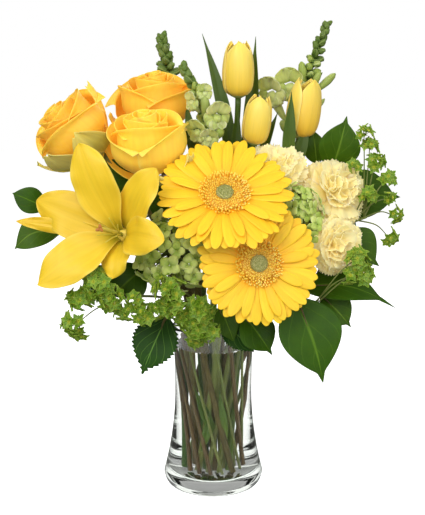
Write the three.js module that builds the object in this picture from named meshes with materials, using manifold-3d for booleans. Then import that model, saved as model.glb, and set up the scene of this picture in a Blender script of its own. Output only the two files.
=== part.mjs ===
// A mixed yellow bouquet standing in a flared clear glass vase of water.
//
// Millimetres, +Z up, the origin at the middle of the vase's foot, on the table. The front is towards -Y.
// An azimuth is counted from the front towards +X, so 0 faces the front, 90 the right and 180 the back.
//
// Every petal, leaf and bract is a thin lens: two curved faces that share one edge, thickest in the middle.
// The stems stand in the water in nested rings that twist in turn to either side, so none crosses another.

import * as THREE from 'three';
import Module from 'manifold-3d';

const wasm = await Module();
wasm.setup();

// ---------------------------------------------------------------- driving dimensions

const VASE_HEIGHT = 200;
const RIM_RADIUS = 49.5;
const WAIST_RADIUS = 47;
const WAIST_HEIGHT = 118;
const FOOT_RADIUS = 61.5;
const FOOT_HEIGHT = 10;
const GLASS = 3.2;
const FLOOR_HEIGHT = 15;
const WATER_LEVEL = 176;
const GAP = 0.35;
const VASE_SIDES = 28;
const WATER_SIDES = 18;

const STEM_FOOT = FLOOR_HEIGHT + 1.2;
const STEM_RIM = VASE_HEIGHT + 6;
const TWIST_PER_MM = 0.0085;
const BUNDLE_NECK = 60;
const RINGS = {
  core: { radius: 0, count: 1, first: 0, twist: 0 },
  inner: { radius: 8.7, count: 6, first: 0, twist: -1 },
  middle: { radius: 17.2, count: 10, first: 18, twist: 1 },
  outer: { radius: 26, count: 14, first: 0, twist: -1 },
};

const STEM_RADIUS = {
  gerbera: 3, lily: 3.4, rose: 3.2, tulip: 3, carnation: 2.3, snapdragon: 2.8, thoroughwax: 1.6, salal: 2,
};
const UNDER_BLOOM = { gerbera: 6, lily: 0.9, rose: 10, tulip: 0.9, carnation: 22, hydrangea: 2 };

const GOLDEN_ANGLE = Math.PI * (3 - Math.sqrt(5));
const RIDGE = 1.3;
const FOLD = 0.12;

// ---------------------------------------------------------------- finishes

const finish = (color, roughness, metalness = 0) =>
  new THREE.MeshStandardMaterial({ color, roughness, metalness });

const clearGlass = new THREE.MeshStandardMaterial({
  color: '#e8eeee', roughness: 0.03, metalness: 0, transparent: true, opacity: 0.3,
});
const stillWater = new THREE.MeshStandardMaterial({
  color: '#dfe6dc', roughness: 0.02, metalness: 0, transparent: true, opacity: 0.3,
});
const roseYellow = finish('#fbbd2f', 0.55);
const gerberaYellow = finish('#fdc916', 0.6);
const discOlive = finish('#8c8a3c', 0.85);
const lilyYellow = finish('#f3cb33', 0.45);
const pistilGreen = finish('#c9bd4c', 0.5);
const tulipYellow = finish('#f6cd45', 0.5);
const carnationCream = finish('#f8e6a4', 0.7);
const hydrangeaGreen = finish('#a9bf62', 0.7);
const snapdragonGreen = finish('#8ea045', 0.6);
const stemGreen = finish('#6f8140', 0.55);
const leafGreen = finish('#3c5e24', 0.4);
const tulipLeafGreen = finish('#456b31', 0.45);
const bractGreen = finish('#6f9a2c', 0.6);

// ---------------------------------------------------------------- small helpers

const vec = (x, y, z) => new THREE.Vector3(x, y, z);
const rad = THREE.MathUtils.degToRad;
const mix = THREE.MathUtils.lerp;
const smooth = (t, from, to) => THREE.MathUtils.smoothstep(t, from, to);

// The direction that an azimuth and an elevation name, in degrees.
const towards = (azimuth, elevation) =>
  vec(
    Math.sin(rad(azimuth)) * Math.cos(rad(elevation)),
    -Math.cos(rad(azimuth)) * Math.cos(rad(elevation)),
    Math.sin(rad(elevation)),
  );

// Seats a local frame at a point: its +Z faces along azimuth and elevation, its +X stays level.
function seat({ at, azimuth, elevation, roll = 0 }) {
  const z = towards(azimuth, elevation);
  const x = vec(Math.cos(rad(azimuth)), Math.sin(rad(azimuth)), 0);
  const y = z.clone().cross(x);
  return new THREE.Matrix4()
    .makeBasis(x, y, z)
    .multiply(new THREE.Matrix4().makeRotationZ(rad(roll)))
    .setPosition(...at);
}

// ---------------------------------------------------------------- closed solids

function solidFrom(positions, faces) {
  return new wasm.Manifold(
    new wasm.Mesh({
      numProp: 3,
      vertProperties: new Float32Array(positions),
      triVerts: new Uint32Array(faces),
    }),
  );
}

function geometryFrom(solid) {
  const mesh = solid.getMesh();
  const geometry = new THREE.BufferGeometry();
  geometry.setAttribute('position', new THREE.BufferAttribute(new Float32Array(mesh.vertProperties), 3));
  geometry.setIndex([...mesh.triVerts]);
  geometry.computeVertexNormals();
  return geometry;
}

// Joins many solids by pairs, so that each union stays small.
function fuse(solids) {
  if (solids.length === 1) return solids[0];
  const half = Math.ceil(solids.length / 2);
  return fuse(solids.slice(0, half)).add(fuse(solids.slice(half)));
}

const moved = (solid, matrix) => solid.transform(matrix.toArray());

// A thin lens over a surface: point(s, t) with s from -1 to 1 across and t from 0 to 1 along.
// Both faces have the same diagonals, and they meet at the outline.
function lens(point, across, along, ridge = RIDGE) {
  const step = 1e-3;
  const row = across + 1;
  const inside = (i, j) => i > 0 && i < across && j > 0 && j < along;
  const positions = [];
  const upper = [];
  const lower = [];
  for (let j = 0; j <= along; j++)
    for (let i = 0; i <= across; i++) {
      const s = (2 * i) / across - 1;
      const t = j / along;
      const here = point(s, t);
      const ds = point(Math.min(1, s + step), t).sub(point(Math.max(-1, s - step), t));
      const dt = point(s, Math.min(1, t + step)).sub(point(s, Math.max(0, t - step)));
      const rise = inside(i, j) ? ds.cross(dt).normalize().multiplyScalar(ridge / 2) : vec(0, 0, 0);
      upper.push(positions.length / 3);
      positions.push(...here.clone().add(rise).toArray());
      lower.push(inside(i, j) ? positions.length / 3 : upper.at(-1));
      if (inside(i, j)) positions.push(...here.clone().sub(rise).toArray());
    }
  const faces = [];
  for (let j = 0; j < along; j++)
    for (let i = 0; i < across; i++) {
      const a = j * row + i;
      const [b, c, d] = [a + 1, a + 1 + row, a + row];
      const corners = (2 * i < across) === (j % 2 === 0) ? [a, b, c, a, c, d] : [a, b, d, b, c, d];
      faces.push(...corners.map((k) => upper[k]));
      for (let k = 0; k < 6; k += 3)
        faces.push(lower[corners[k]], lower[corners[k + 2]], lower[corners[k + 1]]);
    }
  return solidFrom(positions, withoutFlats(faces));
}

// Drops triangles that an outline shared by both faces has closed to a line.
function withoutFlats(faces) {
  const kept = [];
  for (let k = 0; k < faces.length; k += 3) {
    const [a, b, c] = faces.slice(k, k + 3);
    if (a !== b && b !== c && c !== a) kept.push(a, b, c);
  }
  return kept;
}

// A closed rod through points, round in section, with a radius for each point.
function rod(points, radii, sides = 5) {
  const radiusAt = (k) => (Array.isArray(radii) ? radii[k] : radii);
  const tangentAt = (k) =>
    points[Math.min(k + 1, points.length - 1)].clone().sub(points[Math.max(k - 1, 0)]).normalize();
  const positions = [];
  const faces = [];
  let across = tangentAt(0).cross(Math.abs(tangentAt(0).z) > 0.9 ? vec(0, 1, 0) : vec(0, 0, 1)).normalize();
  points.forEach((centre, k) => {
    const tangent = tangentAt(k);
    across = across.clone().addScaledVector(tangent, -across.dot(tangent)).normalize();
    const other = tangent.clone().cross(across);
    for (let i = 0; i < sides; i++) {
      const angle = (2 * Math.PI * i) / sides;
      const out = across.clone().multiplyScalar(Math.cos(angle)).addScaledVector(other, Math.sin(angle));
      positions.push(...centre.clone().addScaledVector(out, radiusAt(k)).toArray());
    }
  });
  const last = (points.length - 1) * sides;
  for (let i = 0; i < sides; i++) {
    const next = (i + 1) % sides;
    for (let base = 0; base < last; base += sides)
      faces.push(...[i, next, sides + next, i, sides + next, sides + i].map((corner) => base + corner));
    if (i > 0 && i < sides - 1) faces.push(0, i + 1, i, last, last + i, last + i + 1);
  }
  return solidFrom(positions, faces);
}

// A closed body about +Z, built up from loops of [angle, radius, height] points in order of angle.
// Two neighbouring loops are bridged by walking round both, and the two end loops are closed flat.
function stacked(loops) {
  const positions = loops.flat().flatMap(([angle, radius, height]) => [
    radius * Math.cos(angle),
    radius * Math.sin(angle),
    height,
  ]);
  const faces = [];
  let start = 0;
  loops.forEach((lower, level) => {
    const count = lower.length;
    const upper = loops[level + 1];
    if (!level) for (let i = 2; i < count; i++) faces.push(0, i, i - 1);
    if (!upper) for (let i = 2; i < count; i++) faces.push(start, start + i - 1, start + i);
    if (upper) bridge(faces, lower, start, upper, start + count);
    start += count;
  });
  return solidFrom(positions, faces);
}

function bridge(faces, lower, startLower, upper, startUpper) {
  const angleAt = (loop, i) => loop[i % loop.length][0] + 2 * Math.PI * Math.floor(i / loop.length);
  let [i, j] = [0, 0];
  while (i < lower.length || j < upper.length) {
    const below = startLower + (i % lower.length);
    const above = startUpper + (j % upper.length);
    const lowerFirst = i < lower.length && angleAt(lower, i + 1) <= angleAt(upper, j + 1);
    const goBelow = j === upper.length || lowerFirst;
    if (goBelow) faces.push(below, startLower + ((i + 1) % lower.length), above);
    else faces.push(below, startUpper + ((j + 1) % upper.length), above);
    if (goBelow) i++;
    else j++;
  }
}

// A round loop. Every other corner may stand out by a relief.
const ring = (count, radius, height, turn = 0, relief = 0) =>
  Array.from({ length: count }, (_, i) => [
    turn + (2 * Math.PI * i) / count,
    radius,
    height + (i % 2 ? relief : 0),
  ]);

// A turned solid about +Z with flat ends.
const turned = (profile, sides) => stacked(profile.map(([radius, height]) => ring(sides, radius, height)));

// A bud: a spindle of flat facets from its root to its tip.
function bud(root, tip, radius, sides = 4) {
  const way = tip.clone().sub(root).normalize();
  const across = way.clone().cross(Math.abs(way.z) > 0.9 ? vec(0, 1, 0) : vec(0, 0, 1)).normalize();
  const other = way.clone().cross(across);
  const middle = root.clone().lerp(tip, 0.55);
  const corners = Array.from({ length: sides }, (_, i) => {
    const angle = (2 * Math.PI * i) / sides;
    return middle
      .clone()
      .addScaledVector(across, radius * Math.cos(angle))
      .addScaledVector(other, radius * Math.sin(angle));
  });
  const faces = corners.flatMap((_, i) => [i, (i + 1) % sides, sides, (i + 1) % sides, i, sides + 1]);
  return solidFrom([...corners, tip, root].flatMap((point) => point.toArray()), faces);
}

// A plate over a rim of [angle, radius, height] points: a fan of facets over it and one under it.
// Their middles stand `above` and `below` the frame's origin, so a deep one makes a root.
function plate(frame, rim, above, below) {
  const positions = rim.flatMap(([angle, radius, height]) => [
    radius * Math.cos(angle),
    radius * Math.sin(angle),
    height,
  ]);
  positions.push(0, 0, above, 0, 0, -below);
  const faces = rim.flatMap((_, i) => {
    const next = (i + 1) % rim.length;
    return [rim.length, i, next, rim.length + 1, next, i];
  });
  return moved(solidFrom(positions, faces), frame);
}

// The rim of a whorl of lobes that rises from a base height at the axis. Each lobe has a notch beside it,
// a tip, and shoulders where it is blunt.
function lobes({ count, notch, tip, base = 0, rise = 0, width = 0, shoulder = 0.88, turn = 0 }) {
  const height = (radius) => mix(base, rise, radius / tip);
  return Array.from({ length: count }, (_, k) => {
    const heart = (2 * Math.PI * k) / count + turn;
    const half = width ? Math.atan(width / 2 / (tip * shoulder)) : 0;
    const blunt = (side) => [heart + side * half, tip * shoulder, height(tip * shoulder)];
    const shoulders = (side) => (width ? [blunt(side)] : []);
    return [
      [heart - Math.PI / count, notch, height(notch)],
      ...shoulders(-1),
      [heart, tip, rise],
      ...shoulders(1),
    ];
  }).flat();
}

// A petal as a bowed shell about +Z. Its side view runs from the root to the lip, and `spread` is half
// the angle that it covers. The pinwheel puts one edge over the next petal and the other edge under.
function shellPetal({ turn, side, spread, pinwheel = 0, dip = 0 }, across, along, ridge) {
  const profile = new THREE.SplineCurve(side.map((point) => new THREE.Vector2(...point)));
  return lens((s, t) => {
    const { x: radius, y: height } = profile.getPoint(t);
    const angle = turn + s * spread(t);
    const reach = radius + pinwheel * s;
    return vec(reach * Math.cos(angle), reach * Math.sin(angle), height - dip * s * s * t);
  }, across, along, ridge);
}

// ---------------------------------------------------------------- vase and water

// The outer wall's radius at a height: a wide foot drawn in to the waist, and a slightly flared rim.
function wallRadius(height) {
  if (height < FOOT_HEIGHT) return mix(FOOT_RADIUS - 4.5, FOOT_RADIUS, Math.sqrt(height / FOOT_HEIGHT));
  const below = Math.max(0, (WAIST_HEIGHT - height) / (WAIST_HEIGHT - FOOT_HEIGHT));
  const above = Math.max(0, (height - WAIST_HEIGHT) / (VASE_HEIGHT - WAIST_HEIGHT));
  const flare = (FOOT_RADIUS - WAIST_RADIUS) * below ** 1.9;
  return WAIST_RADIUS + flare + (RIM_RADIUS - WAIST_RADIUS) * above ** 2;
}

const upright = (points) => {
  const profile = points.map(([radius, height]) => new THREE.Vector2(radius, height));
  return new THREE.LatheGeometry(profile, VASE_SIDES).rotateX(Math.PI / 2);
};

function vaseGeometry() {
  const outside = [0, 2, FOOT_HEIGHT, 30, 55, 85, WAIST_HEIGHT, 160, VASE_HEIGHT - 1];
  const inside = [VASE_HEIGHT - 1, 160, WAIST_HEIGHT, 85, 55, 30];
  return upright([
    [0, 0],
    ...outside.map((height) => [wallRadius(height), height]),
    [RIM_RADIUS - GLASS / 2, VASE_HEIGHT],
    ...inside.map((height) => [wallRadius(height) - GLASS, height]),
    [wallRadius(FLOOR_HEIGHT) - GLASS - 4, FLOOR_HEIGHT],
    [0, FLOOR_HEIGHT],
  ]);
}

function waterSolid(stems) {
  const heights = [30, 55, 85, WAIST_HEIGHT, WATER_LEVEL];
  const profile = [
    [wallRadius(FLOOR_HEIGHT) - GLASS - 5, FLOOR_HEIGHT + GAP],
    ...heights.map((height) => [wallRadius(height) - GLASS - 2 * GAP, height]),
  ];
  const holes = stems.map(({ slot, radius }) =>
    rod([slotPoint(slot, FLOOR_HEIGHT - 5), slotPoint(slot, WATER_LEVEL + 5)], radius + 2 * GAP, 5));
  return turned(profile, WATER_SIDES).subtract(fuse(holes));
}

// ---------------------------------------------------------------- stems

// Where a slot's straight stem is at a height. The rings twist in turn to the left and to the right.
function slotPoint([ringName, place], height) {
  const ring = RINGS[ringName];
  const rise = (height - BUNDLE_NECK) * TWIST_PER_MM * ring.twist;
  const rimRise = (STEM_RIM - BUNDLE_NECK) * TWIST_PER_MM * ring.twist;
  const azimuth = rad(ring.first + (360 * place) / ring.count) - Math.atan(rimRise);
  const [sin, cos] = [Math.sin(azimuth), Math.cos(azimuth)];
  return vec(ring.radius * (sin + rise * cos), ring.radius * (-cos + rise * sin), height);
}

const standing = [];

// A stem's line: straight from its foot to the rim, then one curve to its end.
function stemLine(slot, end, direction, { leave = 50, arrive = 50, steps = 3 } = {}) {
  const foot = slotPoint(slot, STEM_FOOT);
  const rim = slotPoint(slot, STEM_RIM);
  const up = rim.clone().sub(foot).normalize();
  const curve = new THREE.CubicBezierCurve3(
    rim,
    rim.clone().addScaledVector(up, leave),
    end.clone().addScaledVector(direction, -arrive),
    end,
  );
  return [foot, ...curve.getPoints(steps)];
}

// The rod of a stem. Its slot is remembered, because the water has a hole there.
function stemRod(slot, line, radius, sides = 5) {
  standing.push({ slot, radius: [radius].flat()[0] });
  return rod(line, radius, sides);
}

// A point on a stem's line above the rim, by its share of the way from the rim to the end.
function alongLine(line, share) {
  const upper = line.slice(1);
  const place = share * (upper.length - 1);
  const k = Math.min(Math.floor(place), upper.length - 2);
  return upper[k].clone().lerp(upper[k + 1], place - k);
}

// ---------------------------------------------------------------- leaves

// The surface of a pointed leaf from base to tip. Its face looks along `face`, it arches by `bow` and folds
// along its rib. `wide` is where it is widest, `drip` is the share of its length that is a drawn-out tip.
function leafSurface({ base, tip, face, width, bow = 8, along = 5, teeth = 0, drip = 0.12, wide = 0.42 }) {
  const start = vec(...base);
  const end = vec(...tip);
  const length = start.distanceTo(end);
  const axis = end.clone().sub(start).normalize();
  const normal = vec(...face).normalize();
  normal.addScaledVector(axis, -normal.dot(axis)).normalize();
  const side = axis.clone().cross(normal).normalize();
  const swell = Math.log(0.5) / Math.log(wide / (1 - drip));
  return (s, t) => {
    const oval = Math.sin(Math.PI * Math.min(1, t / (1 - drip)) ** swell);
    const half = Math.max(0.8, (width / 2) * oval + 1.1 * (1 - t));
    const onEdge = Math.abs(s) > 0.99 && t > 0.05 && t < 0.95;
    const saw = onEdge ? teeth * (Math.round(t * along) % 2) : 0;
    return start
      .clone()
      .addScaledVector(axis, length * t)
      .addScaledVector(side, -s * (half + saw))
      .addScaledVector(normal, bow * Math.sin(Math.PI * t) + FOLD * Math.abs(s) * half);
  };
}

// A leaf and its stalk, which runs from a point of the stem into the rib.
function leafOn(from, leaf, thick = 1.1) {
  const { along = 5 } = leaf;
  const surface = leafSurface(leaf);
  const joint = surface(0, 0.02);
  const rib = surface(0, 1 / along);
  return fuse([
    lens(surface, 2, along, 1.2),
    rod([from, joint, rib], [thick * 1.2, thick, thick * 0.5], 3),
  ]);
}

const pointsOf = (list) => list.map((point) => vec(...point));

// A woody stem that carries broad leaves. Each leaf leaves the stem at a share of its way up.
function leafySprig({ slot, end, lean, reach, leaves }) {
  const line = stemLine(slot, vec(...end), towards(...lean), reach);
  const blades = leaves.map((leaf) => leafOn(alongLine(line, leaf.share), leaf));
  return fuse([stemRod(slot, line, STEM_RADIUS.salal, 4), ...blades]);
}

// ---------------------------------------------------------------- rose

const ROSE_CORE = [[4, 0], [13, 5], [14, 16], [10, 42], [3, 53]];
const ROSE_WHORLS = [
  { count: 5, side: [[5, 1], [31, 10], [41, 30], [45, 44]], turn: 0.2, along: 3 },
  { count: 5, side: [[5, 2], [24, 13], [32, 36], [33, 53]], turn: 0.85, along: 3 },
  { count: 3, side: [[5, 4], [16, 20], [21, 44], [21, 58]], turn: 0.4, along: 2 },
];

function roseBloom(size) {
  const petals = ROSE_WHORLS.flatMap(({ count, side, turn, along }) => {
    const widest = (Math.PI / count) * 1.12;
    return Array.from({ length: count }, (_, k) =>
      shellPetal({
        turn: turn + (2 * Math.PI * k) / count,
        side,
        spread: (t) => widest * mix(0.75, 1, smooth(t, 0, 0.4)) * mix(1, 0.85, smooth(t, 0.6, 1)),
        pinwheel: 2,
        dip: 2.5,
      }, 2, along));
  });
  return moved(fuse([turned(ROSE_CORE, 6), ...petals]), new THREE.Matrix4().makeScale(size, size, size));
}

// The rose's green hip, with five sepals that hang back.
function roseCalyx(frame) {
  const hip = turned([[2.8, -12], [5.4, -8], [5.6, -3], [4, -GAP]], 5);
  const sepals = lobes({ count: 5, notch: 6.5, tip: 25, rise: -9 });
  const lowered = frame.clone().multiply(new THREE.Matrix4().makeTranslation(0, 0, -4.5));
  return fuse([moved(hip, frame), plate(lowered, sepals, 1, 3)]);
}

// ---------------------------------------------------------------- tulip

const TULIP_WHORLS = [
  { side: [[4, 1], [18.5, 9], [22, 30], [18, 52], [10, 65]], turn: 0, across: 4 },
  { side: [[3, 2], [15.5, 10], [19, 30], [14.5, 50], [6, 62]], turn: Math.PI / 3, across: 2 },
];

// Three outer and three inner petals close to a cup with pointed tops.
function tulipBloom(size) {
  const root = turned([[2.6, 0], [9, 3], [9, 8], [3, 14]], 6);
  const petals = TULIP_WHORLS.flatMap(({ side, turn, across }) =>
    Array.from({ length: 3 }, (_, k) =>
      shellPetal({
        turn: turn + (2 * Math.PI * k) / 3,
        side,
        spread: (t) => mix(0.8, 1.03, smooth(t, 0, 0.4)) * mix(1, 0.35, smooth(t, 0.6, 1)),
        dip: 2,
      }, across, 3, 1.1)));
  return moved(fuse([root, ...petals]), new THREE.Matrix4().makeScale(size, size, size));
}

// ---------------------------------------------------------------- gerbera

const GERBERA = { rays: 20, hub: 16, eye: 9.5, top: 10.5 };

// Two full whorls of rays and a short one, built up in one body round the hub.
function gerberaRays(radius) {
  const { rays, hub, eye, top } = GERBERA;
  const half = Math.PI / rays;
  return stacked([
    ring(10, 7, 0),
    ring(rays, hub - 1, 2.2),
    lobes({ count: rays, notch: 25, tip: radius, width: 14.5, base: 2, rise: 9 }),
    ring(rays, hub, 4.6, -half),
    lobes({ count: rays, notch: 25, tip: radius * 0.94, width: 14, base: 4.5, rise: 14, turn: half }),
    ring(rays, hub, 7, 0),
    lobes({ count: 14, notch: 20, tip: radius * 0.6, width: 9, base: 8, rise: 15, turn: 0.1 }),
    ring(14, hub - 2, 9.4, -0.12),
    ring(20, eye + 2.6, top + 1.2, 0, 1.6),
    ring(14, eye, top),
  ]);
}

function gerberaEye() {
  const { eye, top } = GERBERA;
  const seeds = (radius, height) => ring(12, radius, height, 0, 0.9);
  return stacked([
    ring(12, eye - 1.1, top + GAP),
    seeds(eye - 0.5, top + 1.6),
    seeds(5.2, top + 2.4),
    ring(6, 1.6, top + 2.2),
  ]);
}

const gerberaCup = (frame) =>
  moved(turned([[3, -9], [5.5, -7], [10.5, -2.5], [6.5, -GAP]], 7), frame);

// ---------------------------------------------------------------- lily

const LILY_LENGTH = 113;

// The lily's tepals by their turn about its axis, width, share of the length, opening from the axis and how
// far the tip rolls back. The three that are `inner` lie over the others.
const TEPALS = [
  { turn: 58, width: 42, length: 0.8, open: 52, recurve: 36, inner: 0 },
  { turn: 112, width: 52, length: 0.95, open: 56, recurve: 28, inner: 1 },
  { turn: 166, width: 48, length: 0.88, open: 60, recurve: 20, inner: 0 },
  { turn: 214, width: 44, length: 1.05, open: 62, recurve: 24, inner: 1 },
  { turn: 276, width: 42, length: 0.74, open: 40, recurve: 52, inner: 0 },
  { turn: 350, width: 44, length: 0.74, open: 46, recurve: 50, inner: 1 },
];

function lilyTepal({ turn, width, length, open, recurve, inner }) {
  const span = LILY_LENGTH * length;
  const steps = 16;
  const spine = [vec(inner ? 3.5 : 4.5, 0, inner ? 10 : 6)];
  for (let k = 0; k < steps; k++) {
    const t = (k + 0.5) / steps;
    const away = rad(mix(20, open, smooth(t, 0, 0.3)) + recurve * smooth(t, 0.45, 1) + (inner ? 0 : 4));
    const stride = vec(Math.sin(away), 0, Math.cos(away)).multiplyScalar(span / steps);
    spine.push(spine.at(-1).clone().add(stride));
  }
  const line = new THREE.CatmullRomCurve3(spine);
  const around = new THREE.Matrix4().makeRotationZ(rad(turn));
  return lens((s, t) => {
    const half = (width / 2) * mix(0.1, 1, Math.sin(Math.PI * Math.min(1, t / 1.04)) ** 0.8);
    const tangent = line.getTangent(t);
    const cup = half * s * s * mix(0.3, -0.15, smooth(t, 0.2, 0.9));
    return line
      .getPoint(t)
      .add(vec(0, s * half, 0))
      .addScaledVector(vec(-tangent.z, 0, tangent.x), cup)
      .applyMatrix4(around);
  }, 4, 5, 1.7);
}

const lilyTepals = () =>
  fuse([turned([[3.2, 0], [6.5, 4], [9, 14], [9.5, 19], [5, 16]], 6), ...TEPALS.map(lilyTepal)]);

// The pistil with its three-lobed stigma, and six slim filaments bare of their anthers.
function lilyPistil() {
  const around = (degrees, out, up) => vec(Math.cos(rad(degrees)) * out, Math.sin(rad(degrees)) * out, up);
  const style = rod(pointsOf([[0, 0, 16 + GAP], [0, 0.5, 45], [0, -1, 66]]), [2.6, 1.4, 1.5], 4);
  const lobesOfStigma = [90, 210, 330].map((degrees) => bud(around(0, 0, 64), around(degrees, 4.4, 69), 2));
  const filaments = [30, 90, 150, 210, 270, 330].map((degrees) =>
    rod([around(degrees, 1, 20), around(degrees, 13, 50)], [1, 0.7], 3));
  return fuse([style, ...lobesOfStigma, ...filaments]);
}

// ---------------------------------------------------------------- carnation

// Layers of frilled petals, the outermost first. Each opens `away` from the axis and rises from a valley.
const CARNATION_LAYERS = [
  { away: 92, petals: 6, reach: 1.02, valley: [4, 0], turn: 0.5 },
  { away: 68, petals: 6, reach: 1, valley: [8, 6], turn: 0 },
  { away: 45, petals: 5, reach: 1, valley: [8, 10], turn: 0.4 },
  { away: 20, petals: 4, reach: 0.98, valley: [6, 13], turn: 0 },
];
const TEETH = 5;

function carnationBloom(radius) {
  const layers = CARNATION_LAYERS.flatMap(({ away, petals, reach, valley, turn }) => {
    const count = petals * TEETH;
    const frill = Array.from({ length: count }, (_, k) => {
      const notch = k % TEETH === 0;
      const bend = rad(away + (notch ? 0 : k % 2 ? 7 : -7));
      const length = radius * reach * (notch ? 0.74 : k % 2 ? 1 : 0.92);
      return [turn + (2 * Math.PI * k) / count, length * Math.sin(bend), 4 + length * Math.cos(bend)];
    });
    return [ring(6, ...valley), frill];
  });
  return stacked([...layers, ring(5, 4, radius * 0.55)]);
}

const carnationCalyx = (frame) =>
  moved(turned([[2, -24], [4.6, -20], [5, -6], [4.2, -GAP]], 6), frame);

// ---------------------------------------------------------------- hydrangea

// A domed head of four-lobed florets, set out by the golden angle over an oval core.
function hydrangeaHead({ florets, size, floret }) {
  const [wide, deep, tall] = size;
  const core = turned([
    [2.5, 0],
    [0.5 * wide, 0.25 * tall],
    [0.72 * wide, 0.95 * tall],
    [0.5 * wide, 1.55 * tall],
    [2, 1.72 * tall],
  ], 8);
  const heads = Array.from({ length: florets }, (_, k) => {
    const climb = 1 - 1.66 * ((k + 0.5) / florets);
    const girth = Math.sqrt(1 - climb * climb);
    const azimuth = k * GOLDEN_ANGLE;
    const way = vec(girth * Math.cos(azimuth) * wide, girth * Math.sin(azimuth) * deep, climb * tall);
    const out = vec(way.x / wide ** 2, way.y / deep ** 2, way.z / tall ** 2).normalize();
    const frame = new THREE.Matrix4()
      .makeRotationFromQuaternion(new THREE.Quaternion().setFromUnitVectors(vec(0, 0, 1), out))
      .multiply(new THREE.Matrix4().makeRotationZ(k * 1.3))
      .setPosition(vec(0, 0, tall).add(way).addScaledVector(out, k % 2 ? 1.4 : -1.4));
    const rim = lobes({ count: 4, notch: floret * 0.52, tip: floret, rise: 1 });
    return plate(frame, rim, 1.2, way.length() * 0.5);
  });
  return fuse([moved(core, new THREE.Matrix4().makeScale(1, deep / wide, 1)), ...heads]);
}

// ---------------------------------------------------------------- thoroughwax

// A thin branching stem whose twigs each end in a star of five pointed bracts with a knot of tiny flowers.
function bractSpray({ slot, end, lean, heads, reach }) {
  const line = stemLine(slot, vec(...end), towards(...lean), reach);
  const parts = [stemRod(slot, line, STEM_RADIUS.thoroughwax, 4)];
  heads.forEach(({ share, at, face: [azimuth, elevation], size }, k) => {
    const from = alongLine(line, share);
    const middle = from.clone().lerp(vec(...at), 0.55).add(vec(0, 0, 6));
    const frame = seat({ at, azimuth, elevation, roll: 23 * k });
    parts.push(rod([from, middle, vec(...at)], [1, 0.8, 0.8], 3));
    const star = lobes({ count: 5, notch: size * 0.5, tip: size, rise: size * 0.3 });
    parts.push(plate(frame, star, size * 0.35, 2));
  });
  return fuse(parts);
}

// ---------------------------------------------------------------- snapdragon

// A spike: buds by the golden angle, small at the tip, and a few open flowers lower down.
function snapdragon({ slot, spike, buds, low, reach, open = [] }) {
  const points = pointsOf(spike);
  const rise = points[1].clone().sub(points[0]).normalize();
  const curve = new THREE.CatmullRomCurve3(points);
  const line = [...stemLine(slot, points[0], rise, reach), ...curve.getPoints(4).slice(1)];
  const stout = [STEM_RADIUS.snapdragon, 3, 6.5, 6, 2.4];
  const radii = line.map((_, k) => stout[Math.max(0, k - line.length + stout.length)]);
  const parts = [stemRod(slot, line, radii)];
  for (let k = 0; k < buds; k++) {
    const grown = k / (buds - 1);
    const place = 0.97 - (0.97 - low) * grown ** 0.9;
    const axis = curve.getTangent(place);
    const turn = k * GOLDEN_ANGLE;
    const level = vec(Math.cos(turn), Math.sin(turn), 0);
    const lift = mix(1.6, 0.5, Math.sqrt(grown));
    const out = level.addScaledVector(axis, lift - level.dot(axis)).normalize();
    const root = curve.getPoint(place);
    parts.push(bud(root, root.clone().addScaledVector(out, mix(17, 25, grown)), mix(7, 10, grown)));
  }
  for (const { share, azimuth, elevation, size } of open) {
    const middle = curve.getPoint(share).addScaledVector(towards(azimuth, elevation), size * 0.9);
    const frame = seat({ at: middle.toArray(), azimuth, elevation });
    const rim = lobes({ count: 5, notch: size * 0.6, tip: size, rise: size * 0.35 });
    parts.push(plate(frame, rim, 0, size * 0.9 + 2));
  }
  return fuse(parts);
}

// ---------------------------------------------------------------- the arrangement

const bouquet = new THREE.Group();

function addSolid(name, solid, material, frame) {
  const mesh = new THREE.Mesh(geometryFrom(solid), material);
  mesh.name = name;
  if (frame) mesh.applyMatrix4(frame);
  bouquet.add(mesh);
}

// A bloom stands on its stem with a hair's gap: it is seated at its place, and the stem ends `foot` below.
function addFlower(name, stem, bloom, petals) {
  const { place, slot, reach, radius, foot, calyx, leaves = [], color = stemGreen } = stem;
  const frame = seat(place);
  const way = towards(place.azimuth, place.elevation);
  const end = vec(...place.at).addScaledVector(way, -foot);
  const line = stemLine(slot, end, way, reach);
  const blades = leaves.map((leaf) => leafOn(alongLine(line, leaf.share), leaf, 1.8));
  const parts = [stemRod(slot, line, radius), ...blades];
  if (calyx) parts.push(calyx(frame));
  addSolid(name + '_bloom', bloom, petals, frame);
  addSolid(name + '_stem', fuse(parts), color);
  return frame;
}

const GERBERAS = {
  gerbera_upper: {
    place: { at: [12, -96, 366], azimuth: 1, elevation: 44 }, size: 72,
    slot: ['inner', 0], reach: { leave: 60, arrive: 55 },
  },
  gerbera_lower: {
    place: { at: [48, -113, 297], azimuth: 4, elevation: 18, roll: 7 }, size: 64.5,
    slot: ['middle', 0], reach: { leave: 30, arrive: 45 },
  },
};

for (const [name, flower] of Object.entries(GERBERAS)) {
  const stem = { ...flower, radius: STEM_RADIUS.gerbera, foot: UNDER_BLOOM.gerbera, calyx: gerberaCup };
  const frame = addFlower(name, stem, gerberaRays(flower.size), gerberaYellow);
  addSolid(name + '_eye', gerberaEye(), discOlive, frame);
}

const LILY_STEM = {
  place: { at: [-94, -84, 324], azimuth: -22, elevation: 18 },
  slot: ['middle', 8], reach: { leave: 40, arrive: 55 },
  radius: STEM_RADIUS.lily, foot: UNDER_BLOOM.lily,
};
const lilyFrame = addFlower('lily', LILY_STEM, lilyTepals(), lilyYellow);
addSolid('lily_pistil', lilyPistil(), pistilGreen, lilyFrame);

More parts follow.
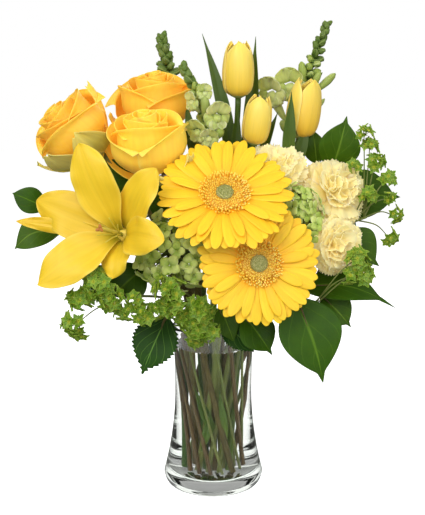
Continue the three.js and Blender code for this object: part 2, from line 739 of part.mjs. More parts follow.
const ROSES = {
  rose_front: {
    place: { at: [-76, -31, 390], azimuth: -8, elevation: 62 }, size: 1.06,
    slot: ['inner', 5], reach: { leave: 60, arrive: 60 },
  },
  rose_back: {
    place: { at: [-70, 42, 440], azimuth: -6, elevation: 62, roll: 70 }, size: 1.04,
    slot: ['middle', 5], reach: { leave: 70, arrive: 70 },
  },
  rose_left: {
    place: { at: [-138, -18, 408], azimuth: -100, elevation: 55, roll: 150 }, size: 1.04,
    slot: ['middle', 7], reach: { leave: 70, arrive: 60 },
  },
};

for (const [name, flower] of Object.entries(ROSES)) {
  const stem = { ...flower, radius: STEM_RADIUS.rose, foot: UNDER_BLOOM.rose, calyx: roseCalyx };
  addFlower(name, stem, roseBloom(flower.size), roseYellow);
}

// The tulips, each with the long blades of its own stem.
const TULIPS = {
  tulip_tall: {
    place: { at: [30, 12, 470], azimuth: 0, elevation: 89 }, size: 1,
    slot: ['inner', 3], reach: { leave: 70, arrive: 70 },
    leaves: [
      {
        share: 0.3, base: [6, 14, 320], tip: [-14, 22, 540],
        face: [0.2, -1, 0], width: 22, bow: 9, along: 6, drip: 0.05,
      },
      {
        share: 0.35, base: [38, 24, 330], tip: [48, 36, 541],
        face: [-0.2, -1, 0], width: 20, bow: -6, along: 6, drip: 0.05,
      },
    ],
  },
  tulip_middle: {
    place: { at: [47, -18, 419], azimuth: 70, elevation: 81, roll: 40 }, size: 0.93,
    slot: ['core', 0], reach: { leave: 60, arrive: 60 },
    leaves: [
      {
        share: 0.4, base: [22, -12, 310], tip: [29, -2, 466],
        face: [0.1, -1, 0], width: 18, bow: -5, along: 5, drip: 0.05,
      },
    ],
  },
  tulip_right: {
    place: { at: [103, 12, 427], azimuth: 78, elevation: 82, roll: 80 }, size: 1,
    slot: ['middle', 3], reach: { leave: 60, arrive: 60 },
    leaves: [
      {
        share: 0.85, base: [104, -12, 392], tip: [93, -20, 474],
        face: [0.15, -1, 0], width: 19, bow: 3, along: 4, drip: 0.05,
      },
      {
        share: 0.3, base: [60, 8, 350], tip: [78, 2, 452],
        face: [-0.3, -1, 0.1], width: 13, bow: 3, along: 4, drip: 0.05,
      },
    ],
  },
};

for (const [name, flower] of Object.entries(TULIPS)) {
  const stem = { ...flower, radius: STEM_RADIUS.tulip, foot: UNDER_BLOOM.tulip, color: tulipLeafGreen };
  addFlower(name, stem, tulipBloom(flower.size), tulipYellow);
}

const CARNATIONS = {
  carnation_high: {
    place: { at: [72, -22, 377], azimuth: 15, elevation: 52 },
    size: 32, slot: ['inner', 2],
  },
  carnation_right: {
    place: { at: [132, -26, 360], azimuth: 35, elevation: 38 },
    size: 35, slot: ['middle', 2],
  },
  carnation_low: {
    place: { at: [138, -63, 308], azimuth: 25, elevation: 5 },
    size: 32, slot: ['middle', 1],
  },
  carnation_back: {
    place: { at: [48, 86, 360], azimuth: 155, elevation: 35 },
    size: 34, slot: ['middle', 4],
  },
};

for (const [name, flower] of Object.entries(CARNATIONS)) {
  const reach = { leave: 50, arrive: 45 };
  const stem = { ...flower, reach, radius: STEM_RADIUS.carnation, foot: UNDER_BLOOM.carnation };
  addFlower(name, { ...stem, calyx: carnationCalyx }, carnationBloom(flower.size), carnationCream);
}

const HYDRANGEAS = {
  hydrangea_left: {
    place: { at: [-37, -54, 297], azimuth: -8, elevation: 12 },
    head: { florets: 19, size: [34, 37, 25], floret: 12.5 },
    slot: ['outer', 13], radius: 3.4, reach: { leave: 25, arrive: 40 },
    leaves: [
      {
        share: 0.35, base: [-46, -68, 228], tip: [-84, -90, 166],
        face: [-0.3, -1, 0.3], width: 46, bow: 5, along: 8, teeth: 1.6, drip: 0.06,
      },
    ],
  },
  hydrangea_right: {
    place: { at: [92, -54, 341], azimuth: 12, elevation: 12 },
    head: { florets: 14, size: [17, 30, 15], floret: 10.5 },
    slot: ['inner', 1], radius: 2.8, reach: { leave: 40, arrive: 45 },
  },
};

for (const [name, flower] of Object.entries(HYDRANGEAS))
  addFlower(name, { ...flower, foot: UNDER_BLOOM.hydrangea }, hydrangeaHead(flower.head), hydrangeaGreen);

const SNAPDRAGONS = {
  snapdragon_left_tall: {
    slot: ['outer', 8], reach: { leave: 80, arrive: 60 },
    spike: [[-50, 90, 430], [-54, 90, 490], [-60, 90, 545]], buds: 11, low: 0.35,
  },
  snapdragon_left_lean: {
    slot: ['inner', 4], reach: { leave: 60, arrive: 60 },
    spike: [[-4, -16, 400], [-8, -16, 440], [-30, -14, 508]], buds: 11, low: 0.3,
    open: [
      { share: 0.3, azimuth: 40, elevation: 25, size: 14 },
      { share: 0.14, azimuth: -50, elevation: 20, size: 13 },
    ],
  },
  snapdragon_right: {
    slot: ['outer', 6], reach: { leave: 60, arrive: 60 },
    spike: [[97, 58, 413], [115, 58, 480], [136, 58, 562]], buds: 11, low: 0.42,
    open: [
      { share: 0.36, azimuth: -80, elevation: 45, size: 13 },
      { share: 0.2, azimuth: -60, elevation: 35, size: 15 },
      { share: 0.22, azimuth: 100, elevation: 20, size: 12 },
    ],
  },
};

for (const [name, flower] of Object.entries(SNAPDRAGONS))
  addSolid(name, snapdragon(flower), snapdragonGreen);

const THOROUGHWAX = {
  thoroughwax_right: {
    slot: ['outer', 4], end: [176, -38, 338], lean: [85, 20], reach: { leave: 50, arrive: 60 },
    heads: [
      { share: 0.98, at: [172, -44, 438], face: [60, 10], size: 17 },
      { share: 0.98, at: [186, -40, 414], face: [80, 0], size: 16 },
      { share: 0.98, at: [198, -42, 388], face: [70, -10], size: 18 },
      { share: 0.96, at: [204, -48, 350], face: [60, 0], size: 17 },
      { share: 0.94, at: [206, -40, 320], face: [90, -20], size: 16 },
    ],
  },
  thoroughwax_left: {
    slot: ['outer', 12], end: [-96, -100, 260], lean: [-45, 10], reach: { leave: 40, arrive: 50 },
    heads: [
      { share: 0.98, at: [-124, -122, 272], face: [-20, 15], size: 20 },
      { share: 0.98, at: [-108, -124, 252], face: [-10, 0], size: 18 },
      { share: 0.95, at: [-148, -112, 248], face: [-40, 0], size: 16 },
      { share: 0.95, at: [-156, -112, 226], face: [-30, 10], size: 18 },
      { share: 0.9, at: [-88, -112, 234], face: [-20, -10], size: 14 },
    ],
  },
  thoroughwax_front: {
    slot: ['outer', 0], end: [-14, -84, 246], lean: [-10, 10], reach: { leave: 25, arrive: 35 },
    heads: [
      { share: 0.98, at: [-46, -126, 277], face: [-10, 20], size: 20 },
      { share: 0.95, at: [-28, -120, 244], face: [-5, 15], size: 19 },
      { share: 0.95, at: [-8, -116, 232], face: [5, 5], size: 18 },
      { share: 0.9, at: [-26, -110, 211], face: [-5, 10], size: 22 },
      { share: 0.9, at: [-64, -108, 240], face: [-25, 0], size: 13 },
    ],
  },
  thoroughwax_low_right: {
    slot: ['outer', 2], end: [112, -88, 244], lean: [50, 20], reach: { leave: 40, arrive: 40 },
    heads: [
      { share: 0.98, at: [152, -104, 290], face: [40, 10], size: 17 },
      { share: 0.98, at: [162, -96, 272], face: [50, 0], size: 16 },
    ],
  },
};

for (const [name, spray] of Object.entries(THOROUGHWAX))
  addSolid(name, bractSpray(spray), bractGreen);

const SALAL = {
  salal_front: {
    slot: ['outer', 1], end: [66, -78, 250], lean: [25, -10], reach: { leave: 30, arrive: 30 },
    leaves: [
      {
        share: 0.98, base: [76, -98, 254], tip: [118, -128, 169],
        face: [0.1, -1, 0.5], width: 72, bow: 6, wide: 0.38,
      },
      {
        share: 0.7, base: [40, -76, 228], tip: [66, -92, 188],
        face: [0.1, -1, 0.5], width: 40, bow: 4, along: 4,
      },
      {
        share: 0.6, base: [12, -70, 224], tip: [32, -88, 186],
        face: [0, -1, 0.4], width: 30, bow: 4, along: 4,
      },
    ],
  },
  salal_right_low: {
    slot: ['outer', 3], end: [118, -34, 256], lean: [75, 5], reach: { leave: 30, arrive: 40 },
    leaves: [
      {
        share: 0.95, base: [108, -62, 262], tip: [207, -72, 243],
        face: [0.1, -0.45, 1], width: 54, bow: 10, drip: 0.16,
      },
      {
        share: 0.9, base: [120, -58, 246], tip: [150, -66, 208],
        face: [0.5, -1, 0.2], width: 40, bow: 4, along: 4,
      },
      { share: 0.98, base: [150, -34, 290], tip: [194, -44, 316], face: [0.3, -1, 0.3], width: 50, bow: 6 },
    ],
  },
  salal_right: {
    slot: ['outer', 5], end: [134, 22, 340], lean: [80, 45], reach: { leave: 60, arrive: 50 },
    leaves: [
      { share: 0.98, base: [158, 4, 356], tip: [216, -10, 372], face: [0.1, -1, 0.3], width: 60, bow: 6 },
      { share: 0.98, base: [140, 12, 372], tip: [158, 8, 450], face: [0.1, -1, 0.1], width: 58, bow: 6 },
    ],
  },
  salal_left: {
    slot: ['outer', 10], end: [-140, -30, 316], lean: [-85, 20], reach: { leave: 50, arrive: 60 },
    leaves: [
      {
        share: 0.98, base: [-172, -44, 328], tip: [-222, -54, 360],
        face: [-0.2, -1, 0.4], width: 34, bow: 6,
      },
      {
        share: 0.98, base: [-166, -44, 308], tip: [-222, -58, 300],
        face: [-0.1, -1, 0.4], width: 38, bow: 6,
      },
      {
        share: 0.75, base: [-112, -34, 330], tip: [-142, -40, 374],
        face: [-0.2, -1, 0.2], width: 32, bow: 3, along: 4,
      },
    ],
  },
  salal_left_low: {
    slot: ['outer', 11], end: [-90, -56, 268], lean: [-50, 5], reach: { leave: 30, arrive: 40 },
    leaves: [
      {
        share: 0.8, base: [-90, -60, 256], tip: [-86, -88, 212],
        face: [-0.1, -1, 0.3], width: 44, bow: 4, along: 4,
      },
      {
        share: 0.98, base: [-116, -72, 276], tip: [-178, -96, 258],
        face: [-0.2, -1, 0.5], width: 34, bow: 5,
      },
    ],
  },
  salal_back: {
    slot: ['outer', 7], end: [4, 92, 300], lean: [180, 30], reach: { leave: 50, arrive: 50 },
    leaves: [
      { share: 0.98, base: [6, 108, 312], tip: [20, 134, 388], face: [0, 1, 0.2], width: 56, bow: 6 },
      { share: 0.9, base: [-20, 100, 288], tip: [-50, 146, 238], face: [0, 1, 0.4], width: 58, bow: 6 },
      { share: 0.9, base: [26, 98, 278], tip: [66, 140, 226], face: [0.2, 1, 0.4], width: 58, bow: 6 },
    ],
  },
  salal_back_left: {
    slot: ['outer', 9], end: [-84, 60, 336], lean: [-125, 40], reach: { leave: 60, arrive: 50 },
    leaves: [
      {
        share: 0.98, base: [-104, 76, 348], tip: [-150, 100, 402],
        face: [-0.5, 1, 0.3], width: 56, bow: 6,
      },
      { share: 0.9, base: [-100, 62, 314], tip: [-166, 80, 290], face: [-0.3, 1, 0.5], width: 54, bow: 6 },
      {
        share: 0.7, base: [-60, 74, 296], tip: [-98, 116, 258],
        face: [-0.2, 1, 0.5], width: 50, bow: 6, along: 4,
      },
    ],
  },
};

for (const [name, sprig] of Object.entries(SALAL))
  addSolid(name, leafySprig(sprig), leafGreen);

const vase = new THREE.Mesh(vaseGeometry(), clearGlass);
vase.name = 'vase';
bouquet.add(vase);
addSolid('water', waterSolid(standing), stillWater);

export default bouquet;
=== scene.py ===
# %% [markdown]
# # A mixed yellow bouquet in a clear glass vase
#
# A florist's bouquet is dozens of stems that stand in water, and each ends in a bloom, a spike or a spray.
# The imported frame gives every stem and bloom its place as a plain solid. This lesson dresses them.
#
# One could sculpt each flower by hand. Here each petal, leaf and bud is a formula on a grid instead,
# because a flower is one shape repeated with a turn, and a formula repeats at no cost.

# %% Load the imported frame
from functools import partial

import bpy
import numpy as np
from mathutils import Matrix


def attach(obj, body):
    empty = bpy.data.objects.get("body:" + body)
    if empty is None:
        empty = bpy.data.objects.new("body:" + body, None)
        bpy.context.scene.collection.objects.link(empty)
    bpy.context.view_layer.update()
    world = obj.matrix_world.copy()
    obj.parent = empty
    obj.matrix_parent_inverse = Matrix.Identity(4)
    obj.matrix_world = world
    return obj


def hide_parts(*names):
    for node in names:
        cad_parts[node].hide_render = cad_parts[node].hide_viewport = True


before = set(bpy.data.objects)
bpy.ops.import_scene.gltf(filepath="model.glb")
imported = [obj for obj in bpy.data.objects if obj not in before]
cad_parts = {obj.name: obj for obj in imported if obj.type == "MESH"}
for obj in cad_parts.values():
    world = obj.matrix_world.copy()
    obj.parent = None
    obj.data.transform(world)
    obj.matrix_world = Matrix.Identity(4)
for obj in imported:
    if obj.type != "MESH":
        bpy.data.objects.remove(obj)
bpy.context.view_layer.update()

SEED = 11
rng = np.random.default_rng(SEED)

# %% [markdown]
# ## Grids, blades and tubes
#
# Nearly everything in a bouquet is a thin blade (petal, leaf, bract) or a tapering tube (stem, bud). A
# blade could be a flat sheet with a Solidify modifier. Here both of its faces and its rim are worked out at
# once, so every blade is closed and the mesh needs no modifier. All lengths are in millimetres until a
# piece is made.

# %% Small helpers for shapes
MM = 0.001
GOLDEN = np.pi * (3 - np.sqrt(5))


def ease(t, start, end):
    """Rises smoothly from 0 at start to 1 at end: x squared times (3 - 2x)."""
    x = np.clip((t - start) / (end - start), 0, 1)
    return x * x * (3 - 2 * x)


def arch(t, power=1.0):
    """From 0 at t = 0 over 1 in the middle to 0 at t = 1: the sine of pi times t, to a power."""
    return np.sin(np.pi * np.clip(t, 0, 1)) ** power


def bell(x, width):
    """A bell curve: 1 at x = 0, and next to nothing past twice the width."""
    return np.exp(-((x / width) ** 2))


def mix(a, b, share):
    """The straight mix of a and b."""
    return a + (b - a) * share


def unit(vectors):
    """Vectors over their own length."""
    return vectors / (np.linalg.norm(vectors, axis=-1, keepdims=True) + 1e-12)


def grid(rows, cols):
    """s runs across from -1 to 1 and crowds at both edges, and t runs along from 0 to 1 and crowds at the
    tip. Both follow a sine, so that an edge stays crisp with few faces."""
    s = np.sin(np.linspace(-np.pi / 2, np.pi / 2, cols))
    t = np.sin(np.linspace(0, np.pi / 2, rows))
    return np.meshgrid(s, t)


def each(count, *spreads):
    """One column of small random numbers for each blade and each spread, ready to add to a grid."""
    return [spread * rng.uniform(-1, 1, (count, 1, 1)) for spread in spreads]


def spokes(count):
    """The angles of blades that stand evenly round the Z axis, ready to add to a grid."""
    return 2 * np.pi * np.arange(count)[:, None, None] / count


def points(*axes):
    """Stacks numbers or grids, one for each axis, into points."""
    return np.stack(np.broadcast_arrays(*axes), axis=-1).astype(float)


def around(angle, out, side, up):
    """Points of blades that stand round Z: `out` from the axis along an angle, `side` square to that."""
    x = out * np.cos(angle) - side * np.sin(angle)
    return points(x, out * np.sin(angle) + side * np.cos(angle), up)


# %% Blades, tubes and turned bodies
def blades(middle, thick=0.6, rim=0.4, look=0):
    """Closes each middle surface (blade, row, column, xyz) into a thin shell: the surface moved out and in
    along its normal by half the thickness, less towards the rim, and a strip that joins the two
    outlines."""
    middle = middle if middle.ndim == 4 else middle[None]
    count, rows, cols, _ = middle.shape
    normal = unit(np.cross(np.gradient(middle, axis=2), np.gradient(middle, axis=1)))
    s = np.linspace(-1, 1, cols)
    t = np.linspace(-1, 1, rows)[:, None]
    full = mix(rim, 1, ease((1 - s * s) * (1 - t**6), 0, 0.6))
    half = (thick * full / 2)[..., None] * normal
    co = np.stack([middle + half, middle - half], axis=1)
    index = np.arange(co[..., 0].size).reshape(co.shape[:-1])
    square = lambda g: np.stack([g[:, :-1, :-1], g[:, :-1, 1:], g[:, 1:, 1:], g[:, 1:, :-1]], -1)
    outline = lambda g: np.concatenate([g[:, 0, :-1], g[:, :-1, -1], g[:, -1, :0:-1], g[:, :0:-1, 0]], axis=1)
    above, below = square(index[:, 0]).reshape(-1, 4), square(index[:, 1]).reshape(-1, 4)
    over, under = outline(index[:, 0]), outline(index[:, 1])
    strip = np.stack([under, np.roll(under, -1, 1), np.roll(over, -1, 1), over], -1).reshape(-1, 4)
    uv = points(*np.meshgrid((s + 1) / 2, np.linspace(0, 1, rows)))
    return {
        "co": co.reshape(-1, 3),
        "faces": [above, below[:, ::-1], strip],
        "uv": np.broadcast_to(uv, (count, 2, rows, cols, 2)).reshape(-1, 2),
        "tone": np.repeat(rng.random(count), 2 * rows * cols),
        "look": look,
    }


def tubes(paths, radii, sides=8, look=0):
    """Closed tubes: at each point of a path a ring of `sides` points at the radius, square to the path, and a
    fan of triangles over each end."""
    paths = np.asarray(paths, float)
    paths = paths if paths.ndim == 3 else paths[None]
    count, steps, _ = paths.shape
    radii = np.broadcast_to(radii, (count, steps))[..., None, None]
    tangent = unit(np.gradient(paths, axis=1))
    level = np.eye(3)[np.abs(tangent).max(axis=1).argmin(axis=1)][:, None]
    first = unit(np.cross(tangent, level))[:, :, None]
    second = np.cross(tangent[:, :, None], first)
    angle = np.linspace(0, 2 * np.pi, sides, endpoint=False)[:, None]
    rings = paths[:, :, None] + radii * (first * np.cos(angle) + second * np.sin(angle))
    co = np.concatenate([rings.reshape(count, -1, 3), paths[:, [0, -1]]], axis=1)
    index = np.arange(co[..., 0].size).reshape(count, -1)
    g = index[:, :-2].reshape(count, steps, sides)
    turn = np.roll(g, -1, 2)
    walls = np.stack([g[:, :-1], turn[:, :-1], turn[:, 1:], g[:, 1:]], -1).reshape(-1, 4)
    poles = np.broadcast_to(index[:, -2:, None], (count, 2, sides))
    foot = np.stack([poles[:, 0], turn[:, 0], g[:, 0]], -1).reshape(-1, 3)
    head = np.stack([poles[:, 1], g[:, -1], turn[:, -1]], -1).reshape(-1, 3)
    ring_uv = points(*np.meshgrid(np.arange(sides) / sides, np.linspace(0, 1, steps)))
    uv = np.concatenate([ring_uv.reshape(-1, 2), [[0.5, 0], [0.5, 1]]])
    return {
        "co": co.reshape(-1, 3),
        "faces": [walls, foot, head],
        "uv": np.tile(uv, (count, 1)),
        "tone": np.repeat(rng.random(count), steps * sides + 2),
        "look": look,
    }


def lathe(profile, sides=96, look=0):
    """Turns a profile of (radius, height) points that starts and ends on the axis: each point but those two
    becomes a ring, and the two ends are poles."""
    profile = np.asarray(profile, float)
    angle = np.linspace(0, 2 * np.pi, sides, endpoint=False)
    inner = profile[1:-1]
    rings = points(inner[:, :1] * np.cos(angle), inner[:, :1] * np.sin(angle), inner[:, 1:]).reshape(-1, 3)
    poles = points(0, 0, profile[[0, -1], 1])
    g = np.arange(len(inner) * sides).reshape(-1, sides)
    turn = np.roll(g, -1, 1)
    walls = np.stack([g[:-1], turn[:-1], turn[1:], g[1:]], -1).reshape(-1, 4)
    first, last = np.full(sides, g.size), np.full(sides, g.size + 1)
    fans = [np.stack([first, turn[0], g[0]], -1), np.stack([last, g[-1], turn[-1]], -1)]
    co = np.concatenate([rings, poles])
    return {"co": co, "faces": [walls, *fans], "uv": co[:, :2] * 0, "tone": co[:, 0] * 0, "look": look}


# %% Places, curves and copies
def towards(azimuth, elevation):
    """The direction that two angles in degrees name. Azimuth 0 faces the front, -Y, and 90 the right, +X."""
    a, e = np.radians([azimuth, elevation])
    return np.array([np.sin(a) * np.cos(e), -np.cos(a) * np.cos(e), np.sin(e)])


def seat(at, azimuth, elevation, roll=0.0, size=1.0):
    """Moves points into a seat: own +Z looks along azimuth and elevation, own +X is level before the roll."""
    a, r = np.radians([azimuth, roll])
    z = towards(azimuth, elevation)
    x = np.array([np.cos(a), np.sin(a), 0.0])
    y = np.cross(z, x)
    turn = np.stack([np.cos(r) * x + np.sin(r) * y, np.cos(r) * y - np.sin(r) * x, z])
    return lambda co: size * co @ turn + np.array(at)


def placed(parts, put):
    """The same parts with every point put in its place."""
    return [{**part, "co": put(part["co"])} for part in parts]


def through(marks, t):
    """A smooth curve through marks, in even steps of t: a cubic between neighbours, with a slope at each
    mark of half the step from the one before to the one after."""
    p = np.asarray(marks, float)
    slope = np.gradient(p, axis=0)
    x = np.clip(t, 0, 1) * (len(p) - 1)
    k = np.minimum(x.astype(int), len(p) - 2)
    w = (x - k)[..., None]
    return (
        (2 * w**3 - 3 * w**2 + 1) * p[k] + (w**3 - 2 * w**2 + w) * slope[k]
        + (3 * w**2 - 2 * w**3) * p[k + 1] + (w**3 - w**2) * slope[k + 1]
    )


def facing(out, spin):
    """For each direction, a turn whose own Z looks along it, spun about it by an angle. Rows are X, Y and
    Z."""
    z = unit(np.asarray(out, float))
    level = np.where(np.abs(z[:, 2:]) > 0.95, [[0.0, 1.0, 0.0]], [[0.0, 0.0, 1.0]])
    x = unit(np.cross(level, z))
    y = np.cross(z, x)
    spin = np.broadcast_to(spin, len(z))[:, None]
    return np.stack([np.cos(spin) * x + np.sin(spin) * y, np.cos(spin) * y - np.sin(spin) * x, z], axis=1)


def copies(shape, places, turns, sizes=1.0):
    """Copies blades (blade, row, column, xyz) to many places, each with its turn and size: point times turn,
    times size, plus place."""
    sizes = np.broadcast_to(sizes, len(places))[:, None, None, None, None]
    moved = np.einsum("brcx,kxy->kbrcy", shape, turns) * sizes + np.asarray(places)[:, None, None, None]
    return moved.reshape(-1, *shape.shape[1:])


# %% From parts to a piece of the bouquet
def stand(name, data):
    """A new object of the scene."""
    made = bpy.data.objects.new(name, data)
    bpy.context.scene.collection.objects.link(made)
    return made


def piece(name, parts, finishes, node):
    """Joins parts into one mesh with a UV map and a random tone for each blade, shades it smooth, rides it on
    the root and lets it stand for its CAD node."""
    mesh = bpy.data.meshes.new(name)
    starts = np.cumsum([0] + [len(part["co"]) for part in parts])
    faces = [f + start for part, start in zip(parts, starts) for f in part["faces"]]
    looks = [np.broadcast_to(part["look"], sum(map(len, part["faces"]))) for part in parts]
    corners = np.concatenate([f.ravel() for f in faces]).astype(np.int32)
    sides = np.concatenate([np.full(len(f), f.shape[1]) for f in faces])
    mesh.vertices.add(starts[-1])
    mesh.vertices.foreach_set("co", (np.concatenate([part["co"] for part in parts]) * MM).ravel())
    mesh.loops.add(len(corners))
    mesh.loops.foreach_set("vertex_index", corners)
    mesh.polygons.add(len(sides))
    mesh.polygons.foreach_set("loop_start", (np.cumsum(sides) - sides).astype(np.int32))
    mesh.polygons.foreach_set("material_index", np.concatenate(looks).astype(np.int32))
    uv = np.concatenate([part["uv"] for part in parts])
    mesh.uv_layers.new(name="petal").data.foreach_set("uv", uv[corners].astype(np.float32).ravel())
    tone = mesh.attributes.new("tone", "FLOAT", "POINT")
    tone.data.foreach_set("value", np.concatenate([part["tone"] for part in parts]).astype(np.float32))
    mesh.update(calc_edges=True)
    mesh.shade_smooth()
    for finish in finishes:
        mesh.materials.append(finish)
    made = stand(name, mesh)
    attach(made, "root")
    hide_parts(node)
    print(f"{name}: {int((sides - 2).sum())} triangles")


# %% [markdown]
# ## Finishes
#
# A petal is a thin wet film: matt to satin, lit through from behind, deeper at its root and paler at its
# rim, with fine veins along it. It could be painted with an image. Here its colour is worked out from the
# blade's own UV map (u across, v along) and from a random tone, so that no two petals match.

# %% Colours and one function that adds a node
A, B, MIXED = 6, 7, 2  # a Mix node's two colour inputs and its colour output
WHITE = (1, 1, 1, 1)


def colour(code):
    """An sRGB hex colour as linear light, by the standard curve."""
    srgb = np.array([int(code[i : i + 2], 16) for i in (1, 3, 5)]) / 255
    linear = np.where(srgb <= 0.04045, srgb / 12.92, ((srgb + 0.055) / 1.055) ** 2.4)
    return (*linear.tolist(), 1.0)


def add(tree, kind, inputs=None, out=0, **settings):
    """Adds a shader node, sets its settings, sets or links its inputs, and gives one of its outputs."""
    made = tree.nodes.new("ShaderNode" + kind)
    for name, value in settings.items():
        setattr(made, name, value)
    for name, value in (inputs or {}).items():
        if isinstance(value, bpy.types.NodeSocket):
            tree.links.new(value, made.inputs[name])
        else:
            made.inputs[name].default_value = value
    return made.outputs[out] if made.outputs else None


def empty(data):
    """Clears the nodes of a material or world, and gives `add` for its tree."""
    data.use_nodes = True
    data.node_tree.nodes.clear()
    return partial(add, data.node_tree)


# %% Living tissue: petals and leaves
def blade_map(node):
    """What every blade's finish reads: its UV map, the distance from its middle line, 0 to 0.5, the way along
    it, 0 to 1, and its own random tone."""
    uv = node("UVMap", out="UV", uv_map="petal")
    u = node("SeparateXYZ", {"Vector": uv}, "X")
    across = node("Math", {0: u, 1: 0.5}, operation="SUBTRACT")
    side = node("Math", {0: across}, operation="ABSOLUTE")
    return uv, side, u.node.outputs["Y"], node("Attribute", out="Fac", attribute_name="tone")


def varied(node, base, tone, vary):
    """The base colour times a tint between white and `vary`, by the blade's tone."""
    tint = node("Mix", {0: tone, A: WHITE, B: colour(vary)}, MIXED, data_type="RGBA")
    return node("Mix", {0: 1.0, A: base, B: tint}, MIXED, data_type="RGBA", blend_type="MULTIPLY")


def tissue(name, root, body, rim, vary, veins=26, vein_depth=0.12, rough=0.5, through=0.25, sheen=0.0,
           root_to=0.35, rim_from=0.6, along=2.0, glow=(1.0, 0.85, 0.3), leak=0.0):
    """A petal's or stalk's finish. Colour goes from root to body along v, and to rim near the edges.
    `veins` is how many fine veins run side by side across it; they show as streaks and as a shallow bump.
    The emission in the petal's own colour is a painted glow: it stands in for the light that seeps
    through many thin petals at once, which a few bounces don't reach."""
    material = bpy.data.materials.new(name)
    node = empty(material)
    uv, side, v, tone = blade_map(node)
    up = node("MapRange", {"Value": v, 1: 0.0, 2: root_to}, interpolation_type="SMOOTHSTEP")
    edge = node("MapRange", {"Value": side, 1: rim_from / 2, 2: 0.5}, interpolation_type="SMOOTHSTEP")
    grown = node("Mix", {0: up, A: colour(root), B: colour(body)}, MIXED, data_type="RGBA")
    rimmed = node("Mix", {0: edge, A: grown, B: colour(rim)}, MIXED, data_type="RGBA")
    toned = varied(node, rimmed, tone, vary)
    stretch = node("Mapping", {"Vector": uv, "Scale": (veins, along, 1.0)})
    offset = node("Math", {0: tone, 1: 37.0}, operation="MULTIPLY")
    streak = node("TexNoise", {"Vector": stretch, "W": offset, "Scale": 1.0, "Detail": 3.0}, "Fac",
                  noise_dimensions="4D")
    shade = node("MapRange", {"Value": streak, 1: 0.3, 2: 0.7, 3: 1 - vein_depth, 4: 1 + vein_depth})
    final = node("VectorMath", {0: toned, 1: shade}, operation="MULTIPLY")
    bump = node("Bump", {"Height": streak, "Strength": 0.35, "Distance": 0.4 * MM})
    # The emission below is a painted glow in the petal's own colour, light that no lamp gives.
    node("OutputMaterial", {"Surface": node("BsdfPrincipled", {
        "Base Color": final, "Roughness": rough, "Normal": bump, "IOR": 1.42, "Subsurface Weight": through,
        "Subsurface Scale": 3 * MM, "Subsurface Radius": glow, "Sheen Weight": sheen,
        "Emission Color": final, "Emission Strength": leak,
    })})
    return material


# %% The bouquet's own petals and greens
gerbera_yellow = tissue("gerbera ray, satin", "#FCB81E", "#FFD026", "#FFDD38", "#FFF0D8", veins=9,
                        root_to=0.45, vein_depth=0.08, rough=0.55, through=0.2)
gerbera_gold = tissue("gerbera disc floret", "#FFC63C", "#FFE058", "#FFEC94", "#FFF0D0", veins=3, root_to=0.6)
gerbera_deep = tissue("gerbera disc, between florets", "#E4AC30", "#ECB434", "#ECB434", "#FFE8C0", veins=3)
gerbera_olive = tissue("gerbera eye bud, downy", "#5E6630", "#9CA058", "#C4C080", "#E0E4C0", veins=3,
                       rough=0.8)
rose_petal = partial(tissue, veins=30, root_to=0.85, rim_from=0.7, vein_depth=0.06, through=0.5)
rose_gold = rose_petal("rose petal, golden", "#FFC840", "#FFDC58", "#FFE068", "#FFF4E0", leak=0.11)
rose_amber = rose_petal("rose petal, amber", "#FFC03C", "#FFD252", "#FFD866", "#FFF0DC", leak=0.08)
rose_pale = tissue("rose guard petal, greenish", "#BCC068", "#DCD074", "#E0CC78", "#F4F0C8", veins=12,
                   root_to=0.8, rough=0.6, through=0.5, leak=0.05)
lily_gold = tissue("lily tepal, waxy", "#8E8C16", "#EDC628", "#F0D050", "#F4EED8", veins=22, root_to=0.22,
                   rim_from=0.55, vein_depth=0.05, through=0.3)
tulip_gold = tissue("tulip petal, silky", "#F4C43A", "#FFE066", "#FFE680", "#FFF6E4", veins=34, root_to=0.7,
                    rim_from=0.5, vein_depth=0.05, rough=0.42, through=0.3, sheen=0.08)
carnation_cream = tissue("carnation petal, matt", "#F4DE88", "#FFEFAE", "#FFF6C8", "#FFF6E4", veins=18,
                         root_to=0.5, rim_from=0.85, vein_depth=0.05, rough=0.6, through=0.8,
                         glow=(1.0, 0.95, 0.7), leak=0.06)
hydrangea_green = tissue("hydrangea sepal, matt", "#A4BC58", "#CCD87C", "#E8ECB0", "#D0E0A8", veins=8,
                         rough=0.6, through=0.3, leak=0.02)
snapdragon_cream = tissue("snapdragon lip, velvety", "#A4B060", "#C8CE88", "#E0E2B4", "#E4EEC4", veins=10,
                          rough=0.6, through=0.35, sheen=0.15)
bud_green = tissue("snapdragon bud, downy", "#425C22", "#6C803C", "#98A85E", "#D4E8A8", veins=8, root_to=0.8,
                   rough=0.6)
bud_pale = tissue("snapdragon bud, opening", "#708A3C", "#A2B062", "#CCD298", "#E8F0C0", veins=8, root_to=0.6,
                  rough=0.55, through=0.3)
bract_green = tissue("thoroughwax bract", "#B0BE3A", "#769828", "#AEC44A", "#BCD484", veins=12)
bract_yellow = tissue("thoroughwax floret", "#A4B430", "#BCC440", "#D0D458", "#F4ECB0", veins=3, rough=0.6)
stalk_green = tissue("flower stalk", "#6A6E38", "#7A8444", "#8A9450", "#DCE6C0", veins=14, vein_depth=0.1,
                     rough=0.45, along=30.0, through=0.05)
stalk_pale = tissue("gerbera stalk, downy", "#7A7840", "#929A58", "#9CA864", "#DCE6C0", veins=14,
                    vein_depth=0.08, rough=0.55, along=30.0, through=0.05)
stalk_olive = tissue("rose stalk, olive", "#6A5C34", "#74703C", "#7C8046", "#E0D0B0", veins=10,
                     vein_depth=0.2, along=40.0, through=0.02)
stalk_brown = tissue("woody stalk, bark", "#504A26", "#645C30", "#5C5630", "#E6D8B0", veins=9, vein_depth=0.3,
                     rough=0.65, along=60.0, through=0.0)
stalk_red = tissue("reddish young stalk", "#584628", "#625230", "#605834", "#F0DCBC", veins=9, vein_depth=0.3,
                   along=30.0, through=0.0)
